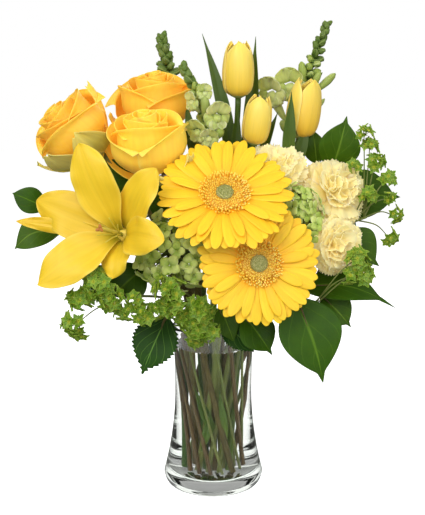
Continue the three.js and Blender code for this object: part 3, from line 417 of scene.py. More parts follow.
tulip_blade = tissue("tulip leaf, bloomed with wax", "#5E7428", "#455E14", "#5E7A28", "#E4ECC8", veins=40,
                     rough=0.48, through=0.08, rim_from=0.9)
print(len(bpy.data.materials), "finishes so far")

# %% [markdown]
# ## A broad leaf with veins
#
# Salal and hydrangea leaves are leathery and glossy. A midrib runs along the middle and side veins curve
# away from it towards the tip, paler than the flesh and sunk into it. The veins could be cut into the mesh,
# but they are half a millimetre wide, so they are drawn from the UV map: v minus a share of the distance
# from the midrib repeats once for each side vein.

# %% Leaf finish
SIDE_VEINS = 9.0


def leaf_skin(name, flesh, deep, vein, vary, rough=0.46, net=0.35):
    """A leathery leaf. A side vein lies where v, less 1.1 times the distance from the midrib, is a whole
    number of steps, and the midrib where that distance is near 0. `net` is how much the side veins show."""
    material = bpy.data.materials.new(name)
    node = empty(material)
    _, side, v, tone = blade_map(node)
    place = node("TexCoord", out="Object")
    patch = node("TexNoise", {"Vector": place, "Scale": 60.0, "Detail": 4.0}, "Fac")
    wobble = node("Math", {0: patch, 1: 0.05, 2: v}, operation="MULTIPLY_ADD")
    lean = node("Math", {0: side, 1: -1.1, 2: wobble}, operation="MULTIPLY_ADD")
    repeat = node("Math", {0: lean, 1: SIDE_VEINS}, operation="MULTIPLY")
    nearest = node("Math", {0: repeat, 1: 1.0}, operation="PINGPONG")
    lateral = node("MapRange", {"Value": nearest, 1: 0.0, 2: 0.11, 3: 1.0, 4: 0.0})
    midrib = node("MapRange", {"Value": side, 1: 0.006, 2: 0.022, 3: 1.0, 4: 0.0})
    laterals = node("Math", {0: lateral, 1: net}, operation="MULTIPLY")
    veins = node("Math", {0: laterals, 1: midrib}, operation="MAXIMUM")
    cells = node("TexVoronoi", {"Vector": place, "Scale": 420.0}, "Distance", feature="DISTANCE_TO_EDGE")
    base = node("Mix", {0: patch, A: colour(deep), B: colour(flesh)}, MIXED, data_type="RGBA")
    veined = node("Mix", {0: veins, A: base, B: colour(vein)}, MIXED, data_type="RGBA")
    relief = node("Math", {0: veins, 1: -1.0, 2: 1.0}, operation="MULTIPLY_ADD")
    grain = node("Math", {0: cells, 1: 0.5, 2: relief}, operation="MULTIPLY_ADD")
    bump = node("Bump", {"Height": grain, "Strength": 0.5, "Distance": 0.6 * MM})
    gloss = node("MapRange", {"Value": patch, 3: rough - 0.06, 4: rough + 0.1})
    node("OutputMaterial", {"Surface": node("BsdfPrincipled", {
        "Base Color": varied(node, veined, tone, vary), "Roughness": gloss, "Normal": bump, "IOR": 1.25,
        "Subsurface Weight": 0.05, "Subsurface Scale": 1 * MM,
    })})
    return material


salal_leaf = leaf_skin("salal leaf, leathery", "#4A6C0A", "#2E4C04", "#688628", "#C8E098")
serrate_leaf = leaf_skin("hydrangea leaf, dark", "#2C5410", "#183606", "#6C9440", "#D8F0C0", 0.5, 0.7)

# %% [markdown]
# ## Glass and water
#
# The vase is clear soda-lime glass, blown into a mould: a thick heavy foot, a thin wall and a fire-polished
# rim. Water fills it nearly to the rim. Both are clear bodies that bend light, so they are one Principled
# shader each with full transmission, and lamp light is let straight through them, because a path tracer
# can't find a small lamp through two curved walls. The water reaches a hair into the glass, so that no film
# of air is left between.

# %% Glass and water finishes
GLASS_IOR, WATER_IOR = 1.5, 1.33


def clear_body(name, tint, edge, ior):
    """A clear body: transmission 1, and its index of refraction. Where it is seen at a slant its colour goes
    to
    `edge`: painted shade for the dark rims that reflection, bending and the long path through thick glass
    give. For the rays that look for a lamp it is a plain tint instead."""
    material = bpy.data.materials.new(name)
    node = empty(material)
    slant = node("LayerWeight", {"Blend": 0.5}, "Facing")
    ramp = node("MapRange", {"Value": slant, 1: 0.45, 2: 1.0}, interpolation_type="SMOOTHSTEP")
    seen = node("Mix", {0: ramp, A: colour(tint), B: colour(edge)}, MIXED, data_type="RGBA")
    body = node("BsdfPrincipled", {
        "Base Color": seen, "Roughness": 0.0, "IOR": ior, "Transmission Weight": 1.0,
    })
    open_to_lamps = node("BsdfTransparent", {"Color": colour("#F0F4F2")})
    lamp = node("LightPath", out="Is Shadow Ray")
    node("OutputMaterial", {"Surface": node("MixShader", {0: lamp, 1: body, 2: open_to_lamps})})
    return material


# The second colour of each clear body is painted shade for the dark rims seen where it is viewed at a slant.
vase_glass = clear_body("soda-lime glass, fire-polished", "#FBFCFC", "#5E6266", GLASS_IOR)
wet_glass = clear_body("soda-lime glass against water", "#FBFCFC", "#8A8E90", GLASS_IOR / WATER_IOR)
water_top = clear_body("still water, open surface", "#F6F8F0", "#D8DCD4", WATER_IOR)
water_side = clear_body("still water against glass", "#FBFCF8", "#E8EAE4", 1.0)

# %% The vase and its water
VASE_HEIGHT, RIM_RADIUS, WAIST_RADIUS, WAIST_HEIGHT = 200, 49.5, 47, 118
FOOT_RADIUS, FOOT_HEIGHT, TOE, GLASS, FLOOR_HEIGHT, CORNER = 61.5, 10, 4.5, 3.2, 15, 9
LIP = GLASS / 2
WATER_LEVEL, MENISCUS, BITE = 176, 0.8, 0.15
VASE_SIDES = 112


def wall(height):
    """The outer wall's radius at a height: the waist's, plus a flare that grows towards the foot to the power
    1.9, plus one that grows towards the rim to the power 2, less a round toe at the very foot."""
    below = np.clip((WAIST_HEIGHT - height) / (WAIST_HEIGHT - FOOT_HEIGHT), 0, 1)
    above = np.clip((height - WAIST_HEIGHT) / (VASE_HEIGHT - WAIST_HEIGHT), 0, 1)
    side = WAIST_RADIUS + (FOOT_RADIUS - WAIST_RADIUS) * below**1.9 + (RIM_RADIUS - WAIST_RADIUS) * above**2
    return side - TOE * (1 - np.sqrt(np.clip(height / FOOT_HEIGHT, 0, 1)))


def inner_corner(bend, bite=0.0):
    """A quarter circle between the inside of the wall and the floor, let into the glass by `bite`."""
    top = FLOOR_HEIGHT + CORNER
    return points(wall(top) - GLASS - CORNER * (1 - np.cos(bend)) + bite, top - CORNER * np.sin(bend) - bite)


def two_looks(profile, change, first, last):
    """Turns a profile, with one look up to a ring of its faces and another from that ring on."""
    part = lathe(np.concatenate(profile), VASE_SIDES)
    ring = np.arange(len(part["faces"][0]) // VASE_SIDES)
    looks = [*np.where(ring < change, first, last), first, last]
    return {**part, "look": np.repeat(looks, VASE_SIDES)}


def vase_part():
    """The profile goes out under the foot, which is hollowed a little, up the wall, over a round rim, down
    inside and in over the floor. Below the water the inner faces have the look of glass against water."""
    under = np.array([[0, 2.2], [20, 2.1], [38, 1.4], [48, 0.3], [52, 0], [55, 0]])
    up = np.concatenate([[0.3, 1, 2, 3.5, 5, 7.5], np.linspace(FOOT_HEIGHT, VASE_HEIGHT - LIP, 44)])
    lip = np.linspace(0, np.pi, 9)[1:-1]
    rim = points(RIM_RADIUS - LIP * (1 - np.cos(lip)), VASE_HEIGHT - LIP + LIP * np.sin(lip))
    dry = np.linspace(VASE_HEIGHT - LIP, WATER_LEVEL + 1, 7)
    down = np.concatenate([dry, np.linspace(WATER_LEVEL, FLOOR_HEIGHT + CORNER, 40)])
    corner = inner_corner(np.linspace(0, np.pi / 2, 9)[1:])
    floor = points(np.linspace(corner[-1, 0], 0, 6)[1:], FLOOR_HEIGHT)
    profile = [under, points(wall(up), up), rim, points(wall(down) - GLASS, down), corner, floor]
    return two_looks(profile, len(under) + len(up) + len(rim) + len(dry) - 1, 0, 1)


def water_part():
    """The water's profile follows the inside of the wall, a hair into the glass, and curls up where it meets
    it. Its sides let light straight through, because the glass there already bends it."""
    corner = inner_corner(np.linspace(np.pi / 2, 0, 8), BITE)
    up = np.linspace(FLOOR_HEIGHT + CORNER + 2, WATER_LEVEL + MENISCUS, 40)
    in_by = np.array([0.6, 1.5, 3.0, 6.0, 20.0])
    top = points(wall(WATER_LEVEL) - GLASS - in_by, WATER_LEVEL + MENISCUS * np.exp(-in_by / 1.6))
    profile = [[[0, FLOOR_HEIGHT - BITE]], corner, points(wall(up) - GLASS + BITE, up), top,
               [[0, WATER_LEVEL]]]
    return two_looks(profile, len(corner) + len(up) - 1, 1, 0)


piece("glass_vase", [vase_part()], [vase_glass, wet_glass], "vase")
piece("vase_water", [water_part()], [water_top, water_side], "water")

# %% [markdown]
# ## Stems
#
# Twenty-nine stems stand in the water. They could be drawn one by one, but no two may cross, so they stand
# round one in the middle in three nested rings, and each ring is twisted the other way from the next, as
# stems lie when a bouquet is turned in the hand. Each one is straight from its foot to the rim, and bends
# from there in one curve to its bloom.

# %% Slots and stem lines
# Each ring: its radius, its number of places, the first place's azimuth and the way that it is twisted.
RINGS = {"core": (0, 1, 0, 0), "inner": (8.7, 6, 0, -1), "middle": (17.2, 10, 18, 1),
         "outer": (26, 14, 0, -1)}
TWIST, NECK, STEM_FOOT, STEM_RIM = 0.0085, 60, 16.2, 206
STRAIGHT_STEPS, CURVE_STEPS = 11, 22
STEM_RADIUS = {"gerbera": 3.4, "rose": 3.6, "tulip": 3.4, "lily": 3.4, "carnation": 2.5, "snapdragon": 3.1,
               "thoroughwax": 1.5, "salal": 2.3}
BEHIND_BLOOM = {"gerbera": 6, "rose": 10, "tulip": -1.5, "lily": -1, "carnation": 22, "hydrangea": 2}


def slot_point(ring, place, height):
    """Where a slot's stem is at a height: on its ring at the neck, and off along the ring's tangent by the
    twist times the height above the neck."""
    radius, count, first, twist = RINGS[ring]
    rise = (height - NECK) * TWIST * twist
    azimuth = np.radians(first + 360 * place / count) - np.arctan((STEM_RIM - NECK) * TWIST * twist)
    sin, cos = np.sin(azimuth), np.cos(azimuth)
    return np.array([radius * (sin + rise * cos), radius * (-cos + rise * sin), height])


def stem_line(slot, end, way, leave, arrive):
    """A stem's points: straight up to the rim, then a cubic Bezier curve that leaves along the stem and
    arrives at its end along a direction. `leave` and `arrive` are the lengths of the curve's two
    handles."""
    foot, rim = slot_point(*slot, STEM_FOOT), slot_point(*slot, STEM_RIM)
    t = np.linspace(0, 1, CURVE_STEPS)[:, None]
    b, c = rim + unit(rim - foot) * leave, end - way * arrive
    curve = (1 - t) ** 3 * rim + 3 * (1 - t) ** 2 * t * b + 3 * (1 - t) * t * t * c + t**3 * end
    return np.concatenate([mix(foot, rim, np.linspace(0, 1, STRAIGHT_STEPS + 1)[:-1, None]), curve])


def stem_to(kind, place, slot, leave, arrive):
    """The line of a stem that ends behind a bloom, or a little inside its cup, along the bloom's own axis."""
    way = towards(*place[1:3])
    return stem_line(slot, np.array(place[0]) - BEHIND_BLOOM[kind] * way, way, leave, arrive)


def along_line(line, share):
    """The point at a share of the way from the rim to the stem's end."""
    curve = line[STRAIGHT_STEPS:]
    place = share * (CURVE_STEPS - 1)
    k = min(int(place), CURVE_STEPS - 2)
    return mix(curve[k], curve[k + 1], place - k)


def stalk(line, radius, knots=0.0):
    """A stem's tube. `knots` swells it a little in places, as at the nodes of a woody stem."""
    reach = np.linspace(0, 1, len(line))
    swell = 1 + knots * np.maximum(0, np.sin(reach * 40 + line[0, 0])) ** 12
    return tubes(line, radius * swell * (1 + 0.03 * np.sin(reach * 23 + line[0, 1])), 12)


# %% [markdown]
# ## Gerberas
#
# A gerbera is a composite: rays in whorls, then a fringe of short strap florets, a ring of tiny disc
# florets and a green eye of unopened ones. Rays could be cut from one disc. Here each ray is its own blade
# with two grooves and a round tip, because light catches the grooves, and the rays overlap.

# %% One gerbera
def gerbera_rays(count, reach, width, start, low, lift, turn, droop, ragged=0.05, waist=0.45):
    """Rays. Out grows evenly with t. Half the width swells from a narrow waist to t = 0.62 and closes on an
    ellipse past t = 0.7. The height rises from `low` by `lift`, less a droop, with two grooves."""
    s, t = grid(17, 9)
    sway, stretch, tip, twist = each(count, 0.045, ragged, 2.2, 0.16)
    out = start + (reach * (1 + stretch) - start) * t
    blunt = np.sqrt(1 - (np.clip(t - 0.7, 0, 1) / 0.3001) ** 2.1)
    half = width / 2 * mix(waist, 1, ease(t, 0, 0.62)) * blunt
    grooves = 0.03 * width * np.cos(3 * np.pi * s) * arch(1.05 * t)
    cup = -0.02 * width * s * s * ease(t, 0.1, 0.6)
    up = low + lift * np.sin(t * np.pi / 2) - droop * t**3 + tip * t * t + twist * half * s + grooves + cup
    return blades(around(turn + spokes(count) + sway, out, half * s, up), 0.45)


def tiny_florets(count, inner, outer, height, size, look, spread, tall=2.0):
    """Florets by the golden angle between two radii: each a small five-sided trumpet that leans its own
    way."""
    k = np.arange(count)
    radius = np.sqrt(mix(inner**2, outer**2, (k + 0.5) / count)) + rng.normal(0, 0.25, count)
    x, y = np.cos(k * GOLDEN), np.sin(k * GOLDEN)
    lean = unit(points(x * spread, y * spread, 1) + rng.normal(0, 0.22, (count, 3)))
    long = size * tall * rng.uniform(0.7, 1.25, (count, 1, 1))
    steps = np.array([0, 0.45, 0.8, 1.0])[None, :, None]
    radii = size * rng.uniform(0.8, 1.15, (count, 1)) * np.array([0.42, 0.5, 0.74, 0.34])
    base = points(radius * x, radius * y, height(radius))[:, None]
    return tubes(base + lean[:, None] * long * steps, radii, 5, look)


def gerbera(reach, disc):
    """Two full whorls of rays and a few short ones over a green cup, then the disc florets that open from the
    outside in, and the eye of unopened buds."""
    mound = lambda r: 8.4 + 2.2 * arch((r - 8) / (disc - 6))
    rays = [
        gerbera_rays(27, reach, 14.2, 9, 2.2, 7, 0.0, 2.0),
        gerbera_rays(27, reach * 0.975, 13.4, 9, 3.4, 8, np.pi / 27, 1.5),
        gerbera_rays(9, reach * 0.86, 11.0, 12, 5.4, 8.4, 0.07, 1.2, ragged=0.1, waist=0.35),
        lathe([[0, 4], [14, 4], [disc - 3, 7], [disc - 5, 8.4], [10, 8.8], [0, 8.8]], 32, look=2),
        tiny_florets(150, disc - 7, disc + 1.5, mound, 1.45, 1, 0.6, 3.0),
        tiny_florets(200, 9.8, disc - 6, mound, 1.15, 1, 0.15),
    ]
    dome = lambda r: 10.5 + 1.8 * np.cos(np.clip(r / 9.6, 0, 1) * np.pi / 2)
    return rays, [lathe([[0, 10.5], [8.6, 10.5], [9.4, 11], [6, 12], [0, 12.5]], 28),
                  tiny_florets(170, 0.3, 9.4, dome, 0.75, 0, 0.15)]


def gerbera_cup():
    """The green cup under the rays: a bell, and narrow bracts pressed to it."""
    s, t = grid(9, 5)
    parts = [lathe([[0, -11], [3.2, -10.5], [6, -7.5], [10, -3], [10.5, -1], [0, -0.6]], 28)]
    for count, low in ((16, -8.5), (18, -6)):
        half = 1.6 * arch(0.15 + 0.85 * t) + 0.1
        parts.append(blades(around(spokes(count) + low, 4.5 + 8.5 * t, half * s, low + 8 * t**1.4 - 2), 0.5))
    return parts


GERBERAS = {  # place, reach of a ray, radius of the disc, then the stem's slot, leave and arrive
    "upper": (([12, -96, 369], 1, 44), 72.5, 25.5, ("inner", 0), 60, 55),
    "lower": (([48, -113, 299], 4, 18, 7), 65, 23, ("middle", 0), 30, 45),
}
for name, (place, reach, disc, *stem) in GERBERAS.items():
    put = seat(*place)
    rays, eye = gerbera(reach, disc)
    piece(f"gerbera_{name}_rays", placed(rays, put), [gerbera_yellow, gerbera_gold, gerbera_deep],
          f"gerbera_{name}_bloom")
    piece(f"gerbera_{name}_buds", placed(eye, put), [gerbera_olive], f"gerbera_{name}_eye")
    stem_tube = stalk(stem_to("gerbera", place, *stem), STEM_RADIUS["gerbera"])
    piece(f"gerbera_{name}_stalk", [stem_tube, *placed(gerbera_cup(), put)], [stalk_pale],
          f"gerbera_{name}_stem")

# %% [markdown]
# ## Roses
#
# A cut rose is a spiral of shells: the heart is wound tight, and each petal further out is wider, rounder and
# rolls its lip back more. One could cut and fold planes. Here one formula gives every petal from its place in
# the spiral, 0 at the heart and 1 outside, because radius, height, lip and width all follow that number.

# %% One rose
ROSE_PETALS = 15


def rose_petals():
    """Petals at the golden angle, x = 0 at the heart and 1 outside. Each bellies out to its own radius,
    stands up to its own height and rolls its lip outward, more at its corners, so that the middle stays as
    a point. Inner petals lean in over the heart. One edge lies outside its neighbour and the other
    inside."""
    s, t = grid(21, 25)
    k = np.arange(ROSE_PETALS)[:, None, None]
    x = (k + 0.15) / (ROSE_PETALS - 0.85)
    wobble, sway, ripple, tilt, fold = each(ROSE_PETALS, 1.0, 0.2, 3.0, 1.6, 0.35)
    belly = 3.0 + 36.5 * x**1.15
    top = 67.0 - 15.0 * x**1.7 + 2.2 * wobble * x - 4.0 * (x < 0.12)
    roll = 0.6 + 8.0 * x**1.3
    spread = np.clip(52 / (belly + 4), 1.15, 2.9)
    narrow = mix(0.45, 1, ease(t, 0, 0.5)) * mix(1, 0.88, ease(t, 0.8, 1))
    swell = np.sin(np.clip(t / 0.62, 0, 1) * np.pi / 2) ** 0.85
    lean = mix(-0.42, -0.03, ease(x, 0, 0.9))
    lip = ease(t, 0.78, 1.0)
    corner = 0.35 + (0.8 + fold) * s * s
    radius = 2.5 + (belly - 2.5) * swell + belly * lean * ease(t, 0.5, 1.0) + roll * lip**1.4 * corner
    radius = radius + 1.4 * s * ease(t, 0.1, 0.5) + (0.3 + 1.6 * x) * np.sin(3.3 * s + ripple) * t * t
    rise = top * (t * 0.96 + 0.04) - roll * lip**2 * (0.2 + 0.8 * s * s)
    rise = rise + 1.6 * x * (1 - np.abs(s)) ** 2 * lip
    up = 2 + rise - (1.5 + 5 * x) * s**4 * t - 1.6 * x * np.cos(3 * s + ripple) * lip + tilt * s * t
    return blades(around(k * GOLDEN + sway + s * spread * narrow, radius, 0.0, up), 0.7, rim=0.5)


def rose_sepals():
    """The green hip, and five sepals that hang back from its top: narrow blades with drawn-out tips."""
    s, t = grid(13, 7)
    angle = spokes(5) + each(5, 0.2)[0]
    half = 5.2 * arch(0.12 + 0.88 * t, 0.9) * (1 - 0.55 * t) + 0.2
    up = -3.5 + 4 * np.sin(t * np.pi * 0.6) - 10 * t * t + 0.25 * half * s * s
    hip = lathe([[0, -13], [2.9, -12.5], [5.3, -9], [6.1, -5], [5.2, -1.5], [0, -0.6]], 24)
    return [hip, blades(around(angle, 4.5 + 30 * t, half * s, up), 0.7)]


def guard_petal(turn, half, reach, rise, look):
    """An old outer petal that clings to the bloom from below: it goes out by a quarter sine and up by a
    power of t, is widest at its middle, ends in a soft point, and crumples in waves."""
    s, t = grid(17, 13)
    a, b = rng.uniform(0, 6, 2)
    wide = half * arch(0.1 + 0.86 * t, 0.75)
    out = 6 + reach * np.sin(t * np.pi * 0.5) + 2.2 * np.sin(2.6 * s + a + 2 * t) * t - 0.25 * wide * s * s
    up = -1 + rise * t**1.4 + 1.8 * np.sin(4.4 * s + b + 3 * t) * t
    return blades(around(np.radians(turn), out, wide * s, up), 0.8, look=look)


ROSES = {  # place, size, finish, guard petals (turn, half width, reach, rise, look), stem
    "front": (([-70, -34, 380], -20, 73), 1.22, rose_gold,
              [(172, 17, 43, 48, 0), (-58, 13, 40, 24, 1), (-16, 12, 43, 34, 1)], ("inner", 5), 60, 60),
    "back": (([-66, 38, 422], -14, 77), 1.18, rose_amber, [(200, 16, 41, 30, 0)], ("middle", 5), 70, 70),
    "left": (([-131, -20, 410], -68, 42), 1.12, rose_amber,
             [(-95, 19, 44, 42, 1), (-8, 21, 44, 44, 1), (-50, 24, 45, 48, 1), (77, 14, 38, 58, 0)],
             ("middle", 7), 70, 60),
}
for name, (place, size, petal, guards, *stem) in ROSES.items():
    parts = [rose_petals(), *(guard_petal(*row) for row in guards)]
    piece(f"rose_{name}_petals", placed(parts, seat(*place, size=size)), [petal, rose_pale],
          f"rose_{name}_bloom")
    stem_tube = stalk(stem_to("rose", place, *stem), STEM_RADIUS["rose"], 0.25)
    piece(f"rose_{name}_stalk", [stem_tube, *placed(rose_sepals(), seat(*place))], [stalk_olive],
          f"rose_{name}_stem")

# %% [markdown]
# ## Tulips
#
# Three outer and three inner petals close to a cup, each a deep spoon with a rib and a soft point. One
# spoon could be mirrored six times; here each has its own lean, ripple and tip, so that the cup looks
# grown.

# %% Tulip petals
def tulip_petals(side, turn, flare):
    """Three petals. Radius and height follow the side view, half the angle covered closes to a point past
    t = 0.6, a rib rises along the middle, and the tip flares out by a random share of `flare`."""
    s, t = grid(25, 21)
    lean, ripple, tip = each(3, 1.0, 3.0, 0.6)
    radius, height = np.moveaxis(through(side, t), -1, 0)
    point = (1 - np.clip((t - 0.6) / 0.401, 0, 1) ** 2.5) ** 0.7
    spread = mix(0.75, 1.14, ease(t, 0, 0.4)) * np.maximum(point, 0.004)
    angle = turn + spokes(3) + s * spread + 0.05 * tip * t * t
    wave = 0.4 * np.sin(5 * s + 7 * t + ripple) * t * t
    out = radius + 0.8 * s * ease(t, 0, 0.4) - 0.7 * bell(s, 0.12) * arch(t, 0.5) + wave
    up = height - 1.5 * s * s * t + 0.6 * np.sin(6 * s + ripple) * t**3
    return blades(around(angle, out + (1.2 + lean) * flare * t**3, 0.0, up), 0.8)


def tulip():
    """The two whorls of petals, over a small green root. One of the outer petals faces the front."""
    outer = [[4, 1], [15, 9], [17.8, 28], [15.2, 50], [8.6, 64]]
    inner = [[3, 2], [13.6, 10], [16.6, 29], [13.8, 49], [6.5, 62]]
    root = lathe([[0, 0], [2.6, 0], [9, 3], [9, 8], [3, 14], [0, 14]], 24, look=1)
    return [tulip_petals(outer, -np.pi / 2, 1.2), tulip_petals(inner, np.pi / 6, 0.8), root]


# %% [markdown]
# ## Leaves
#
# Every leaf follows one rule: an oval outline with a drawn-out tip, a bow along it, a fold at the rib and a
# ripple at the edge. Each could be cut from a card with a picture on it. A grid keeps the edge crisp from
# near by and gives the leaf its thickness.

# %% One leaf, and leaves on their stalks
def leaf_sheet(base, tip, face, width, bow, drip=0.1, wide=0.42, teeth=0.0, ripple=1.0, rows=27, cols=15,
               fold=0.14, sweep=0.0):
    """Across: half the width times sin(pi * u) to the 0.8, where u grows so that the leaf is widest at
    `wide`, and a straight taper at the tip, `drip` of the length. Off the straight line: a bow, a sideways
    sweep, a fold in |s|, and a ripple in s squared. Teeth are a saw, on an even grid so that all are
    alike."""
    start, end = np.array(base, float), np.array(tip, float)
    axis = unit(end - start)
    normal = np.array(face, float)
    normal = unit(normal - axis * (normal @ axis))
    s, t = np.meshgrid(np.linspace(-1, 1, cols), np.linspace(0, 1, rows)) if teeth else grid(rows, cols)
    swell = np.log(0.5) / np.log(wide / (1 - drip))
    oval = np.maximum(arch(np.minimum(1, t / (1 - drip)) ** swell), 0) ** 0.8
    tail = mix(1.3, 0.2, t) + 0.07 * width * (1 - t) / (drip + 0.04) * ease(t, 0.6, 0.85)
    near_edge = ease(np.abs(s), 0.85, 1) * ease(t, 0.05, 0.15) * ease(1 - t, 0, 0.1)
    half = np.maximum(width / 2 * oval, tail)
    saw = teeth * (np.arange(rows)[:, None] % 2) * near_edge
    edge = ripple * np.sin(9 * t + rng.uniform(0, 6) + 1.3 * np.sign(s)) * s * s * np.sqrt(oval)
    crease = fold * half * (np.sqrt(s * s + 0.01) - 0.1)
    off = bow * arch(t) + crease + edge - 0.6 * bell(s, 0.09) * (1 - t)
    across = sweep * arch(t) - s * (half + saw)
    along = axis * (np.linalg.norm(end - start) * t)[..., None]
    return start + along + np.cross(axis, normal) * across[..., None] + normal * off[..., None]


def leaves_on(line, leaves, thick, look=0, **shape):
    """Leaves of one stem. Each row has the share of the line where the leaf starts, its base, tip, face,
    width and bow, and what else differs. Its stalk runs from the stem into the rib in one curve."""
    parts = []
    t = np.linspace(0, 1, 12)
    radii = thick * np.interp(t, [0, 0.5, 1], [1.2, 1.0, 0.4])
    for share, base, tip, face, width, bow, *own in leaves:
        sheet = leaf_sheet(base, tip, face, width, bow, **shape, **dict(*own))
        rib = sheet[:, sheet.shape[1] // 2]
        path = through([along_line(line, share), rib[1], rib[len(rib) // 4]], t)
        parts += [blades(sheet, 0.7, look=look), tubes(path, radii, 7)]
    return parts


TULIPS = {  # place, size, leaves, stem
    "tall": (([29, 12, 470], 0, 89), 1.02, [
        (0.5, [26, 14, 360], [-13, 20, 544], [0.2, -1, 0], 17, 7, {"sweep": 5}),
        (0.35, [38, 24, 340], [50, 36, 541], [-0.2, -1, 0], 20, -6),
        (0.55, [-16, 8, 384], [-32, 8, 466], [-0.2, -1, 0], 15, 3)], ("inner", 3), 70, 70),
    "middle": (([46, -18, 418], 70, 81, 40), 0.9, [
        (0.4, [22, -12, 330], [29, -2, 466], [0.1, -1, 0], 17, -5)], ("core", 0), 60, 60),
    "right": (([101, 12, 423], 78, 82, 80), 1.1, [
        (0.85, [84, -10, 385], [89, -18, 479], [0.15, -1, 0], 15, 3),
        (0.3, [50, 4, 385], [75, 0, 455], [-0.3, -1, 0.1], 11, 3),
        (0.6, [92, 4, 380], [112, 6, 446], [0.15, -1, 0], 15, 2)], ("middle", 3), 60, 60),
}
SUNK = [  # blades of leaf that went into the water with the stems: base, tip, width
    ([2, -16, 62], [-21, -22, 130], 11), ([-12, -18, 44], [-3, -26, 100], 9),
    ([14, -22, 60], [6, -30, 128], 8),
]
for name, (place, size, leaves, *stem) in TULIPS.items():
    piece(f"tulip_{name}_petals", placed(tulip(), seat(*place, size=size)), [tulip_gold, stalk_green],
          f"tulip_{name}_bloom")
    line = stem_to("tulip", place, *stem)
    parts = leaves_on(line, leaves, 1.8, drip=0.05, fold=0.3, ripple=0.8, rows=33)
    if name == "middle":
        parts += [blades(leaf_sheet(base, tip, [0.1, -1, 0], width, 3, rows=33)) for base, tip, width in SUNK]
    piece(f"tulip_{name}_leaves", [stalk(line, STEM_RADIUS["tulip"]), *parts], [tulip_blade],
          f"tulip_{name}_stem")

# %% [markdown]
# ## The lily
#
# Six tepals open from a trumpet and roll back at the tip; the three inner ones are broader and lie on top.
# A thin one more shows edge-on at the left. Each is bent along a spine whose angle from the axis grows from
# root to tip. A flat petal with a bend modifier would do the same, but here the groove and the ruffled edge
# come from the same formula.

# %% The lily's tepals, pistil and stem
LILY_LENGTH = 113
TEPALS = [  # turn, width, share of the length, opening, roll of the tip, inner
    (55, 42, 0.84, 52, 34, 0), (113, 50, 1.0, 56, 26, 1), (164, 52, 0.94, 60, 30, 0),
    (222, 50, 0.97, 62, 30, 1), (276, 36, 0.5, 44, 60, 0), (354, 42, 0.76, 46, 50, 1),
    (179, 18, 1.06, 66, 8, 0),
]
LILY_PLACE = ([-94, -84, 324], -22, 18)
pistil_cream = tissue("lily pistil, waxy", "#A9B04A", "#D8CC5C", "#E6DC80", "#F0F0C0", veins=5, rough=0.35)
stigma_red = tissue("lily stigma, dry", "#A2622C", "#BC7C3C", "#D0A058", "#F4DCC8", veins=5, rough=0.7)


def tepal(turn, width, share, opening, roll, inner):
    """The spine is the running sum of short steps whose angle grows with t. Half the width swells early and
    closes on a blunt tip. Off the spine: a groove as a bell curve across with a ridge beside it, a cup that
    turns into a backward curl, and a ruffle in s squared."""
    s, t = grid(41, 19)
    line = t[:, 0]
    away = np.radians(mix(20, opening, ease(line, 0, 0.3)) + roll * ease(line, 0.45, 1) + (0 if inner else 4))
    step = np.diff(line) * LILY_LENGTH * share
    middle = (away[1:] + away[:-1]) / 2
    out = np.concatenate([[3.5 if inner else 4.5], np.sin(middle) * step]).cumsum()[:, None]
    up = np.concatenate([[10 if inner else 6], np.cos(middle) * step]).cumsum()[:, None]
    blunt = (1.0001 - np.clip((t - 0.45) / 0.55, 0, 1) ** 2.5) ** 0.66
    half = width / 2 * mix(0.12, 1, ease(t, 0, 0.5)) * blunt
    cup = half * s * s * mix(0.3, -0.15, ease(t, 0.2, 0.9))
    groove = 0.7 * bell(np.abs(s) - 0.22, 0.12) * (1 - t) - 1.6 * bell(s, 0.13) * (1 - t) ** 0.6
    first, second = rng.uniform(0, 6, 2)
    waves = 2.3 * np.sin(12 * t + first + 2 * s) + 0.9 * np.sin(25 * t + second - 3 * s)
    off = cup + groove + waves * s * s * ease(t, 0.15, 0.6)
    out, up = out - np.cos(away)[:, None] * off, up + np.sin(away)[:, None] * off
    return blades(around(np.radians(turn), out, s * half, up), 1.0)


def pistil():
    """The style with its three-lobed stigma, and six bare filaments that lean out."""
    t = np.linspace(0, 1, 16)
    style = tubes(points(0, 0.5 * np.sin(t * 3), 16.4 + 48 * t), mix(2.4, 1.3, t), 10)
    turns = np.radians([90, 210, 330])[:, None]
    lobe = points(np.cos(turns) * 4.6 * t, np.sin(turns) * 4.6 * t - 1, 64 + 4 * np.sqrt(t))
    stigma = tubes(lobe, np.interp(t, [0, 0.5, 1], [1.6, 1.9, 1.0]), 8, look=1)
    turns = np.radians([30, 90, 150, 210, 270, 330])[:, None]
    lean = 1 + 12 * t**1.3
    filament = points(np.cos(turns) * lean, np.sin(turns) * lean, 20 + 30 * t)
    return [style, stigma, tubes(filament, mix(1.0, 0.55, t), 7)]


put = seat(*LILY_PLACE)
throat = lathe([[0, 0], [3.2, 0], [6.5, 4], [8.6, 11], [5, 16], [0, 16]], 28)
piece("lily_tepals", placed([*(tepal(*row) for row in TEPALS), throat], put), [lily_gold], "lily_bloom")
piece("lily_pistil_and_filaments", placed(pistil(), put), [pistil_cream, stigma_red], "lily_pistil")
lily_line = stem_to("lily", LILY_PLACE, ("middle", 8), 40, 55)
piece("lily_stalk", [stalk(lily_line, STEM_RADIUS["lily"])], [stalk_olive], "lily_stem")

# %% [markdown]
# ## Carnations
#
# A carnation is a ball of frills: each petal is a narrow claw that opens to a fan with a toothed edge, and
# the fans are crumpled into one another. A cloth simulation could crumple them. Waves that grow with the
# square of the distance from the claw give the same look with no simulation.

# %% One carnation
CARNATION = [  # away from the axis in degrees, petals, reach, claw's radius and height
    (106, 6, 0.98, 3.5, 0), (90, 7, 1.03, 3.5, 2), (74, 7, 1.02, 3.2, 4), (57, 7, 0.98, 3.0, 5),
    (40, 6, 0.95, 2.5, 6), (22, 5, 0.9, 1.5, 6), (8, 3, 0.86, 1.0, 6),
]
TEETH = 35


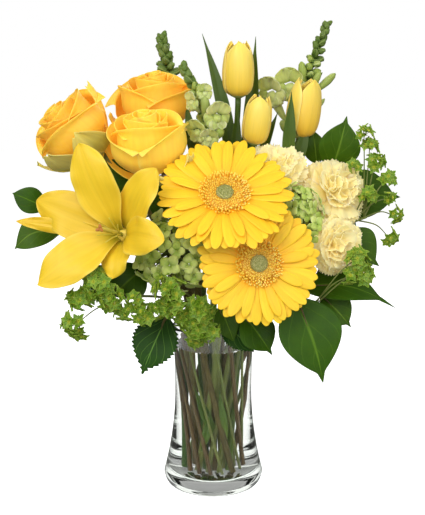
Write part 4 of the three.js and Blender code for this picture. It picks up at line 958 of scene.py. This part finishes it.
def frill(away, count, reach, claw, foot, radius):
    """Fans in one layer. The middle line bends from the claw to the tip as a quadratic curve, half the width
    grows with t, waves cross it that grow with t squared, and the edge steps in and out by a tooth."""
    s, t = np.meshgrid(np.linspace(-1, 1, TEETH), np.sin(np.linspace(0, np.pi / 2, 12)))
    sway, size, a, b, c, lift = each(count, 0.2, 0.07, 3.0, 3.0, 3.0, 2.0)
    bend = np.radians(away) + sway
    tooth = np.where(np.arange(TEETH) % 2, 1.0, 0.96)
    u = t * mix(1, tooth, ease(t, 0.85, 1)) * (1 - 0.12 * s**2 * t)
    length = radius * reach * (1 + size)
    knee_up = foot + 0.45 * length * np.clip(np.cos(bend) + 0.45, 0, 1)
    out = (1 - u) ** 2 * claw + 2 * (1 - u) * u * (claw + 3.0) + u * u * length * np.sin(bend)
    up = (1 - u) ** 2 * (foot - 4) + 2 * (1 - u) * u * knee_up + u * u * (4 + length * np.cos(bend))
    half = mix(1.2, length * 0.78, u**1.1)
    wave = 3.0 * np.sin(3.8 * s + a) + 2.3 * np.sin(8.2 * s + b + 2 * t) + 0.6 * np.sin(17 * s + c)
    wave = (wave + lift) * t * t * radius / 34
    angle = rng.uniform(0, 6) + spokes(count)
    out, up = out - 0.3 * half * s * s + wave * np.cos(bend), up + wave * np.sin(bend)
    return blades(around(angle, out, half * np.sin(s * 1.1) / np.sin(1.1), up), 0.5, rim=0.6)


def carnation_calyx():
    """A green tube with five teeth that clasp the claws."""
    s, t = grid(9, 5)
    teeth = blades(around(spokes(5), 5.0 + 0.8 * t, 2.6 * (1 - t) * s + 0.01 * s, -6 + 8 * t), 0.6)
    tube = [[0, -25], [2, -24.5], [3.8, -22], [4.7, -18], [5.2, -8], [5, -3], [3.8, -0.6], [0, -0.5]]
    return [lathe(tube, 24), teeth]


CARNATIONS = {  # place, radius, slot
    "high": (([70, -24, 378], 0, 46), 38, ("inner", 2)),
    "right": (([131, -28, 357], 28, 36), 42, ("middle", 2)),
    "low": (([131, -62, 309], 22, 12), 33, ("middle", 1)),
    "back": (([48, 86, 360], 155, 35), 34, ("middle", 4)),
}
for name, (place, radius, slot) in CARNATIONS.items():
    put = seat(*place)
    layers = [frill(*layer, radius) for layer in CARNATION]
    piece(f"carnation_{name}_frills", placed(layers, put), [carnation_cream], f"carnation_{name}_bloom")
    stem_tube = stalk(stem_to("carnation", place, slot, 50, 45), STEM_RADIUS["carnation"], 0.35)
    piece(f"carnation_{name}_stalk", [stem_tube, *placed(carnation_calyx(), put)], [stalk_green],
          f"carnation_{name}_stem")

# %% [markdown]
# ## Green hydrangeas
#
# A head is dozens of little flowers of four round sepals, laid over a dome and facing outward. They could be
# scattered with geometry nodes. The golden angle over an oval gives the same even crowd, and numbers can turn
# and shrink each one.

# %% A hydrangea head
def four_sepals():
    """Four sepals round a point, one unit from it to their tips: each an oval with a narrow foot, bowed
    back at the tip, with a dip along its middle. Two lie over the other two."""
    s, t = grid(8, 7)
    over = np.arange(4)[:, None, None] % 2
    half = 0.47 * arch(0.97 * t**0.85, 0.72) + 0.03
    up = 0.16 * np.sin(t * 2.4) - 0.14 * s * s * t + 0.1 * over
    return around(spokes(4), 0.06 + 0.94 * t, half * s, up)


def hydrangea(count, extent, radius):
    """Florets over an oval dome at uneven depths, each on a thin stalk and with a tiny knob in the middle."""
    k = np.arange(count)
    climb = 1 - 1.75 * (k + 0.5) / count
    girth = np.sqrt(1 - climb**2)
    ball = points(girth * np.cos(k * GOLDEN), girth * np.sin(k * GOLDEN), climb)
    out = unit(ball / extent) + rng.normal(0, 0.25, (count, 3))
    core = np.array([0, 0, extent[2]])
    centre = ball * extent + core + unit(out) * rng.uniform(-10, 3.5, (count, 1))
    turns = facing(out, k * 1.3)
    sepals = copies(four_sepals(), centre, turns, radius * rng.uniform(0.78, 1.12, count))
    stalks = np.stack([core * np.ones((count, 1)), mix(core, centre, 0.6), centre], axis=1)
    knobs = centre[:, None] + turns[:, 2:] * np.array([0, 1.2, 1.8])[:, None]
    return [blades(sepals, 0.5, rim=0.6), tubes(stalks, [1.2, 0.8, 0.5], 5, look=1),
            tubes(knobs, [0.7, 0.7, 0.3], 6)]


HYDRANGEAS = {  # place, head (florets, half sizes, floret's radius), radius of the stem, leaves, stem
    "left": (([-40, -54, 299], -8, 14), (62, (42, 42, 30), 11.0), 3.4, [
        (0.35, [-52, -66, 229], [-81, -90, 166], [-0.2, -1, 0.3], 50, 5, {"teeth": 3.0, "wide": 0.45}),
        (0.3, [12, -70, 222], [46, -84, 191], [0, -1, 0.4], 30, 4, {"teeth": 2.0, "drip": 0.06}),
    ], ("outer", 13), 25, 40),
    "right": (([93, -54, 341], 12, 12), (56, (22, 34, 19), 9.0), 2.8, [], ("inner", 1), 40, 45),
}
for name, (place, head, radius, leaves, *stem) in HYDRANGEAS.items():
    piece(f"hydrangea_{name}_florets", placed(hydrangea(*head), seat(*place)), [hydrangea_green, stalk_green],
          f"hydrangea_{name}_bloom")
    line = stem_to("hydrangea", place, *stem)
    parts = leaves_on(line, leaves, 1.8, look=1, rows=33, cols=17)
    piece(f"hydrangea_{name}_stalk", [stalk(line, radius, 0.1), *parts], [stalk_brown, serrate_leaf],
          f"hydrangea_{name}_stem")

# %% [markdown]
# ## Snapdragons
#
# A spike opens from below: tight scale-like buds at the top, fat pale buds lower down, and a few open
# mouths. An array along a curve could set one bud many times. Here the golden angle sets them, and each
# grows with its place, because buds of one spike are all of another age. Each open flower is two frilled
# lips on a tube.

# %% One snapdragon
def open_mouth(size):
    """Five frilled lobes on a short tube: two stand up and three hang down and out."""
    s, t = grid(13, 13)
    turn = np.radians([68, 112, 212, 270, 328])[:, None, None]
    upper = np.array([1, 1, 0, 0, 0])[:, None, None]
    a, b = each(5, 3.0, 3.0)
    flare = mix(0.35, 1.0, ease(t, 0.1, 0.8)) * t
    half = 0.85 * arch(0.1 + 0.62 * t) * np.sqrt(np.clip(1.02 - t**6, 0, 1)) * mix(0.9, 1, upper)
    frilled = 0.14 * np.sin(7 * s + a + 4 * t) * t * t + 0.07 * np.sin(14 * s + b) * t * t
    rise = mix(0.3, 0.75, upper) * t - mix(0.6, 0.0, upper) * t**3 + frilled
    return blades(size * around(turn, 0.28 + 0.8 * flare, half * s, rise), 0.6, look=2)


def side_branch(spine, share, end, sag):
    """Three marks of a curve that leaves the spine at a share of it and sags on its way to a point."""
    start = through(spine, np.array([share]))[0]
    return [start, mix(start, end, 0.5) + sag, end]


def spike_of(spine, count, low, length, stout, ripe, mouths, thumbs):
    """Buds along a spine from its tip down to `low`, each an egg on a short foot with a pointed bract under
    it. They grow and spread as they go down and are pale from `ripe` on. Open flowers and long buds
    (thumbs) leave the spine at a share of it and follow a curve to a point."""
    grown = np.linspace(0, 1, count)
    place = 0.985 - (0.985 - low) * grown**1.1
    root = through(spine, place)
    axis = unit(through(spine, np.minimum(place + 0.02, 1)) - through(spine, place - 0.02))
    turn = np.arange(count) * GOLDEN
    level = points(np.cos(turn), np.sin(turn), 0)
    lift = mix(1.7, 0.3, ease(grown, 0, 0.7))[:, None]
    out = level - axis * (level * axis).sum(1, keepdims=True) + axis * lift
    out = unit(out + rng.normal(0, 0.16, (count, 3)))
    length = mix(*length, grown) * rng.uniform(0.85, 1.12, count)
    stout = mix(*stout, grown**0.8) * rng.uniform(0.88, 1.1, count)
    t = np.linspace(0, 1, 11)[:, None]
    path = root[:, None] + length[:, None, None] * (out[:, None] * t + 0.2 * axis[:, None] * t**2)
    egg = np.interp(t[:, 0], [0, 0.12, 0.3, 0.5, 0.72, 0.9, 1], [0.26, 0.32, 0.76, 1.0, 0.86, 0.5, 0.08])
    fat = grown > ripe
    parts = [tubes(path[fat], stout[fat, None] * egg, 10, look=1)] if fat.any() else []
    parts.append(tubes(path[~fat], stout[~fat, None] * egg, 8))
    s, t = grid(9, 5)
    scale = points(0.3 * arch(0.15 + 0.85 * t) * s, 0.25 * t * t - 0.1 + 0.22 * s * s, t)
    turns = facing(out - 0.3 * axis, 0)
    parts.append(blades(copies(scale[None], root - 0.1 * stout[:, None] * axis, turns, length * 1.15), 0.5))
    t = np.linspace(0, 1, 14)
    for share, end, radius in thumbs:
        radii = radius * np.interp(t, [0, 0.2, 0.4, 0.75, 0.92, 1], [0.3, 0.35, 0.7, 1.0, 0.75, 0.2])
        branch = side_branch(spine, share, np.array(end, float), [0, -2, -4])
        parts.append(tubes(through(branch, t), radii, 10, look=1))
    for share, end, azimuth, elevation, size in mouths:
        radii = size * np.interp(t, [0, 0.35, 0.7, 0.9, 1], [0.1, 0.14, 0.34, 0.38, 0.3])
        branch = side_branch(spine, share, np.array(end, float), [0, 0, -0.25 * size])
        branch[2] = branch[2] + towards(azimuth, elevation) * size * 0.2
        parts.append(tubes(through(branch, t), radii, 12, look=2))
        parts += placed([open_mouth(size)], seat(end, azimuth, elevation))
    return parts


# Each spike: slot, leave, arrive, spine, buds, lowest bud, lengths and radii of the first and last bud, where
# buds turn pale, open flowers (share, place, azimuth, elevation, size), and long buds (share, place, radius).
SNAPDRAGONS = {
    "left_tall": (("outer", 8), 80, 60, [[-48, 90, 430], [-55, 90, 490], [-63, 90, 540]], 40, 0.1, (10, 19),
                  (3.8, 6.0), 2, [], []),
    "left_lean": (("inner", 4), 60, 60, [[-4, -16, 400], [-8, -16, 450], [-34, -14, 506]], 38, 0.05, (9, 17),
                  (4.0, 6.0), 0.25,
                  [(0.3, [4, -36, 452], 20, 10, 14), (0.1, [-18, -38, 436], -30, 0, 12),
                   (0.5, [-24, -32, 468], -50, 20, 9), (0.2, [-5, -40, 428], 0, 0, 10),
                   (0.55, [-10, -30, 478], 10, 25, 8)],
                  [(0.45, [-10, -36, 474], 6.0), (0.3, [10, -36, 438], 6.0), (0.6, [-16, -28, 488], 5.2)]),
    "right": (("outer", 6), 60, 60, [[97, 58, 413], [112, 58, 480], [136, 58, 556]], 34, 0.4, (8, 16),
              (3.6, 5.0), 0.5, [(0.1, [70, 44, 475], -35, 10, 16), (0.3, [92, 42, 484], -20, 15, 17)],
              [(0.5, [106, 54, 512], 5.4), (0.45, [147, 50, 498], 5.0), (0.2, [135, 52, 468], 3.6),
               (0.5, [128, 44, 500], 4.6), (0.12, [92, 44, 450], 6.5), (0.08, [82, 44, 442], 5.5)]),
}
for name, (slot, leave, arrive, spine, *rest) in SNAPDRAGONS.items():
    spine = np.array(spine, float)
    line = stem_line(slot, spine[0], unit(spine[1] - spine[0]), leave, arrive)
    thick = STEM_RADIUS["snapdragon"]
    upper = through(spine, np.linspace(0, 1, 24))
    stem = [stalk(line, thick), tubes(upper, np.linspace(thick, 1.0, 24), 10)]
    piece(f"snapdragon_{name}_spike", [*stem, *spike_of(spine, *rest)],
          [bud_green, bud_pale, snapdragon_cream], f"snapdragon_{name}")

# %% [markdown]
# ## Thoroughwax
#
# A thin branching stem ends in umbels: rays like the ribs of a parasol, and at the end of each a star of
# pointed bracts round a knot of tiny yellow flowers. They could be scattered by a particle system. Here
# each head's few rays are worked out from the direction that it faces, so they stay with their twig.

# %% One spray
KNOBS = 8


def bract_star():
    """Five broad pointed bracts and five smaller ones over them, one unit long and two thirds of that:
    widest at a third, drawn out to a point, slightly cupped."""
    s, t = grid(8, 5)
    inner = np.arange(10)[:, None, None] % 2
    size = mix(1.0, 0.66, inner)
    half = size * (0.28 * arch((0.16 + 0.84 * t) ** 0.85) + 0.01)
    up = size * (0.4 * t - 0.2 * t**3 + 0.14 * s * s) + 0.12 * inner
    return around(spokes(10), 0.08 + size * 0.92 * t, half * s, up)


def umbels(start, at, size):
    """A twig in one curve from the stem to the head, rays that fan out from its end in a dome, and on each
    ray a star of bracts with a knot of tiny flowers."""
    count = int(0.6 + 0.64 * size)
    knee = mix(start, at, 0.55) + [0, 0, 6]
    face = unit(at - knee + np.array([0, -25, 6]))
    hub = at - face * size * 0.7
    steps = np.linspace(0, 1, 18)
    spread = np.sqrt((np.arange(count) + 0.3) / count) * 0.92
    angle = np.arange(count) * GOLDEN + rng.uniform(0, 6)
    dome = points(spread * np.cos(angle), spread * np.sin(angle), 0.95 - 0.7 * spread**2)
    tip = hub + size * dome @ facing(face[None], 0.0)[0] + rng.normal(0, 0.06 * size, (count, 3))
    ways = unit(unit(tip - hub) + rng.normal(0, 0.3, (count, 3)))
    reach = np.linspace(0, 1, 5)[:, None]
    rays = hub + (tip - hub)[:, None] * reach + 0.08 * size * face * arch(reach)
    turns = facing(ways, rng.uniform(0, 6, count))
    knob = np.arange(count * KNOBS)
    x, y, z = np.moveaxis(np.repeat(turns, KNOBS, 0), 1, 0)
    ring = 2.0 * np.sqrt((knob % KNOBS + 0.5) / KNOBS)
    off = points(np.cos(knob * GOLDEN), np.sin(knob * GOLDEN)) * ring[:, None]
    foot = np.repeat(tip, KNOBS, 0) + z + x * off[:, :1] + y * off[:, 1:]
    knobs = foot[:, None] + z[:, None] * np.array([0, 0.9, 1.6])[:, None]
    collar = copies(bract_star(), hub[None], facing(face[None], 1.0), size * 0.5)
    twig = tubes(through([start, knee, hub], steps), mix(0.95, 0.55, steps), 6)
    ray_tubes = tubes(rays, 0.36, 5)
    stars = copies(bract_star(), tip, turns, min(1, 0.5 + size / 24) * rng.uniform(8.6, 11.0, count))
    return [twig, ray_tubes, blades(stars, 0.4, look=1), blades(collar, 0.4, look=1),
            tubes(knobs, [0.5, 0.7, 0.4], 5, look=2)]


THOROUGHWAX = {  # slot, end, lean, leave, arrive, heads (share, place, size)
    "right": (("outer", 4), [176, -38, 338], (85, 20), 50, 60, [
        (0.98, [169, -44, 436], 8), (0.98, [177, -40, 421], 8), (0.98, [184, -42, 403], 9),
        (0.98, [198, -42, 383], 8), (0.96, [208, -44, 341], 8), (0.94, [204, -42, 314], 8),
        (0.9, [174, -54, 366], 8), (0.96, [160, -42, 398], 6), (0.9, [200, -46, 362], 6)]),
    "left": (("outer", 12), [-96, -100, 260], (-45, 10), 40, 50, [
        (0.98, [-126, -124, 280], 17), (0.98, [-112, -124, 264], 13), (0.95, [-150, -114, 259], 11),
        (0.95, [-154, -114, 230], 15), (0.9, [-98, -116, 246], 9), (0.9, [-84, -116, 256], 9),
        (0.9, [-76, -120, 243], 9), (0.95, [-136, -112, 262], 8)]),
    "front": (("outer", 0), [-14, -84, 246], (-10, 10), 25, 35, [
        (0.98, [-50, -126, 274], 17), (0.95, [-48, -120, 254], 12), (0.95, [-14, -122, 250], 14),
        (0.9, [-18, -116, 230], 16), (0.9, [-4, -112, 222], 10), (0.9, [-66, -110, 246], 8),
        (0.9, [-32, -114, 240], 10), (0.9, [-20, -104, 212], 9)]),
    "low_right": (("outer", 2), [112, -88, 244], (50, 20), 40, 40, [
        (0.98, [158, -102, 305], 11), (0.98, [165, -98, 288], 12), (0.95, [150, -102, 284], 8)]),
}
for name, (slot, end, lean, leave, arrive, heads) in THOROUGHWAX.items():
    line = stem_line(slot, np.array(end, float), towards(*lean), leave, arrive)
    parts = [stalk(line, STEM_RADIUS["thoroughwax"])]
    for share, at, size in heads:
        parts += umbels(along_line(line, share), np.array(at, float), size)
    piece(f"thoroughwax_{name}_spray", parts, [stalk_green, bract_green, bract_yellow], f"thoroughwax_{name}")

# %% [markdown]
# ## Salal sprigs
#
# Broad leathery leaves on woody stems frame the bouquet. They could be copies of one leaf. Their places
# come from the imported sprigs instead, and the leaf rule above gives each its own shape, as no two leaves of
# a shrub match.

# %% The sprigs
SALAL = {  # slot, end, lean, leave, arrive, leaves
    "front": (("outer", 1), [66, -78, 250], (25, -10), 30, 30, [
        (0.98, [89, -102, 259], [120, -126, 169], [0.1, -1, 0.45], 70, 6, {"wide": 0.4, "sweep": -3}),
        (0.7, [32, -78, 236], [66, -96, 191], [0.1, -1, 0.5], 42, 4, {"wide": 0.5}),
        (0.6, [8, -68, 240], [24, -84, 200], [0, -1, 0.4], 28, 4)]),
    "right_low": (("outer", 3), [118, -34, 256], (75, 5), 30, 40, [
        (0.95, [98, -66, 263], [205, -78, 241], [0.1, -0.75, 0.8], 44, 8,
         {"drip": 0.16, "wide": 0.36, "sweep": -9}),
        (0.9, [122, -60, 252], [157, -70, 216], [0.4, -1, 0.2], 40, 4, {"wide": 0.5}),
        (0.98, [138, -34, 317], [191, -46, 282], [0.2, -1, 0.3], 55, 6, {"wide": 0.5})]),
    "right": (("outer", 5), [134, 22, 340], (80, 45), 60, 50, [
        (0.98, [148, 2, 359], [219, -12, 357], [0.1, -1, 0.3], 58, 6, {"wide": 0.4}),
        (0.98, [140, 12, 384], [156, 6, 450], [0.1, -1, 0.1], 50, 6, {"wide": 0.45}),
        (0.9, [124, 22, 392], [118, 20, 436], [-0.1, -1, 0.1], 28, 4),
        (0.6, [124, -26, 306], [114, -32, 344], [0, -1, 0.2], 26, 3),
        (0.6, [145, -26, 306], [164, -30, 340], [0, -1, 0.2], 26, 3)]),
    "left": (("outer", 10), [-140, -30, 316], (-85, 20), 50, 60, [
        (0.98, [-186, -44, 348], [-226, -54, 368], [-0.2, -1, 0.4], 30, 5, {"drip": 0.03, "wide": 0.55}),
        (0.98, [-176, -46, 320], [-225, -60, 305], [-0.1, -1, 0.4], 36, 6,
         {"drip": 0.04, "wide": 0.5, "sweep": 9}),
        (0.75, [-112, -34, 330], [-142, -40, 374], [-0.2, -1, 0.2], 32, 3),
        (0.55, [-85, -20, 369], [-132, -26, 402], [-0.1, -1, 0.2], 36, 4, {"wide": 0.5}),
        (0.5, [-56, -44, 329], [-68, -46, 391], [-0.1, -1, 0.2], 26, 3, {"wide": 0.5})]),
    "left_low": (("outer", 11), [-90, -56, 268], (-50, 5), 30, 40, [
        (0.9, [-78, -56, 284], [-115, -72, 252], [-0.1, -1, 0.3], 48, 4, {"wide": 0.5, "drip": 0.04}),
        (0.98, [-112, -70, 283], [-150, -80, 262], [-0.2, -1, 0.5], 28, 4)]),
    "back": (("outer", 7), [4, 92, 300], (180, 30), 50, 50, [
        (0.98, [6, 108, 312], [20, 134, 388], [0, 1, 0.2], 56, 6),
        (0.9, [-20, 100, 288], [-50, 146, 238], [0, 1, 0.4], 58, 6),
        (0.9, [26, 98, 278], [66, 140, 226], [0.2, 1, 0.4], 58, 6)]),
    "back_left": (("outer", 9), [-84, 60, 336], (-125, 40), 60, 50, [
        (0.98, [-104, 76, 348], [-150, 100, 402], [-0.5, 1, 0.3], 56, 6),
        (0.9, [-100, 62, 314], [-166, 80, 290], [-0.3, 1, 0.5], 54, 6),
        (0.7, [-60, 74, 296], [-98, 116, 258], [-0.2, 1, 0.5], 50, 6)]),
}
for name, (slot, end, lean, leave, arrive, leaves) in SALAL.items():
    line = stem_line(slot, np.array(end, float), towards(*lean), leave, arrive)
    parts = leaves_on(line, leaves, 1.1, look=1)
    piece(f"salal_{name}_sprig", [stalk(line, STEM_RADIUS["salal"], 0.4), *parts], [stalk_red, salal_leaf],
          f"salal_{name}")

# %% [markdown]
# ## Floor, light and camera
#
# The photo is a catalogue shot: a white floor that runs into a white ground, large soft lights from the
# front, and a camera a little above the bouquet. A real sweep of paper could be modelled. A wide pale floor
# and a white world do the same, and the world is greyer near the horizon for the glass, which needs
# something dark to show.

# %% Floor
# What the floor throws back on other things is toned down, so that the undersides of leaves stay dark as
# they do over a small sweep of paper.
FLOOR_SQUARE = [(-4, -4, 0), (4, -4, 0), (4, 4, 0), (-4, 4, 0)]
floor_mesh = bpy.data.meshes.new("studio_floor")
floor_mesh.from_pydata(FLOOR_SQUARE, [], [(0, 1, 2, 3)])
floor_white = bpy.data.materials.new("studio floor, white")
node = empty(floor_white)
paper = node("BsdfPrincipled", {
    "Base Color": colour("#FAFAFA"), "Roughness": 0.9, "Specular IOR Level": 0.0,
    "Emission Color": WHITE, "Emission Strength": 0.55,
})
dim = node("BsdfDiffuse", {"Color": colour("#7C7E78")})
from_camera = node("LightPath", out="Is Camera Ray")
through_glass = from_camera.node.outputs["Is Transmission Ray"]
straight = node("Math", {0: from_camera, 1: through_glass}, operation="MAXIMUM")
node("OutputMaterial", {"Surface": node("MixShader", {0: straight, 1: dim, 2: paper})})
floor_mesh.materials.append(floor_white)
stand("studio_floor", floor_mesh)

# %% World
# White where the camera sees it. For all other rays it is greyer near the horizon and brighter overhead.
world = bpy.data.worlds.new("studio ground")
node = empty(world)
up = node("SeparateXYZ", {"Vector": node("TexCoord", out="Generated")}, "Z")
ramp = node("MapRange", {"Value": up, 1: 0.0, 2: 0.7, 3: 0.3, 4: 1.0})
soft = node("Background", {"Color": ramp, "Strength": 0.55})
plain = node("Background", {"Color": WHITE, "Strength": 1.0})
seen = node("LightPath", out="Is Camera Ray")
node("OutputWorld", {"Surface": node("MixShader", {0: seen, 1: soft, 2: plain})})
bpy.context.scene.world = world

# %% Lights
LIGHTS = {  # place and target in metres, side in metres, power in watts
    "key_light": ((-0.8, -1.3, 1.35), (0, 0, 0.32), 1.0, 19),
    "front_light": ((0.15, -1.7, 0.8), (0, 0, 0.34), 1.2, 10),
    "fill_light": ((1.3, -0.9, 0.8), (0, 0, 0.3), 1.1, 7),
    "back_light": ((0.3, 1.2, 1.2), (0, 0, 0.35), 1.0, 8),
}
for name, (place, target, side, power) in LIGHTS.items():
    lamp = bpy.data.lights.new(name, "AREA")
    lamp.shape, lamp.size, lamp.energy = "SQUARE", side, power
    made = stand(name, lamp)
    x, y, z = np.subtract(place, target)
    made.location = place
    made.rotation_euler = (np.arctan2(np.hypot(x, y), z), 0.0, np.arctan2(x, -y))
    made.visible_transmission = False
print(len(LIGHTS), "square area lights")

# %% Camera
CAMERA_PLACE, CAMERA_PITCH, LENS, SENSOR = (-0.001, -1.100, 0.520), 12.2, 65.57, 36
camera = stand("camera", bpy.data.cameras.new("camera"))
camera.location = CAMERA_PLACE
camera.rotation_euler = (np.radians(90 - CAMERA_PITCH), 0.0, 0.0)
camera.data.lens, camera.data.sensor_width = LENS, SENSOR
bpy.context.scene.camera = camera
bpy.context.scene.view_settings.view_transform = "Standard"
bpy.context.scene.view_settings.look = "None"
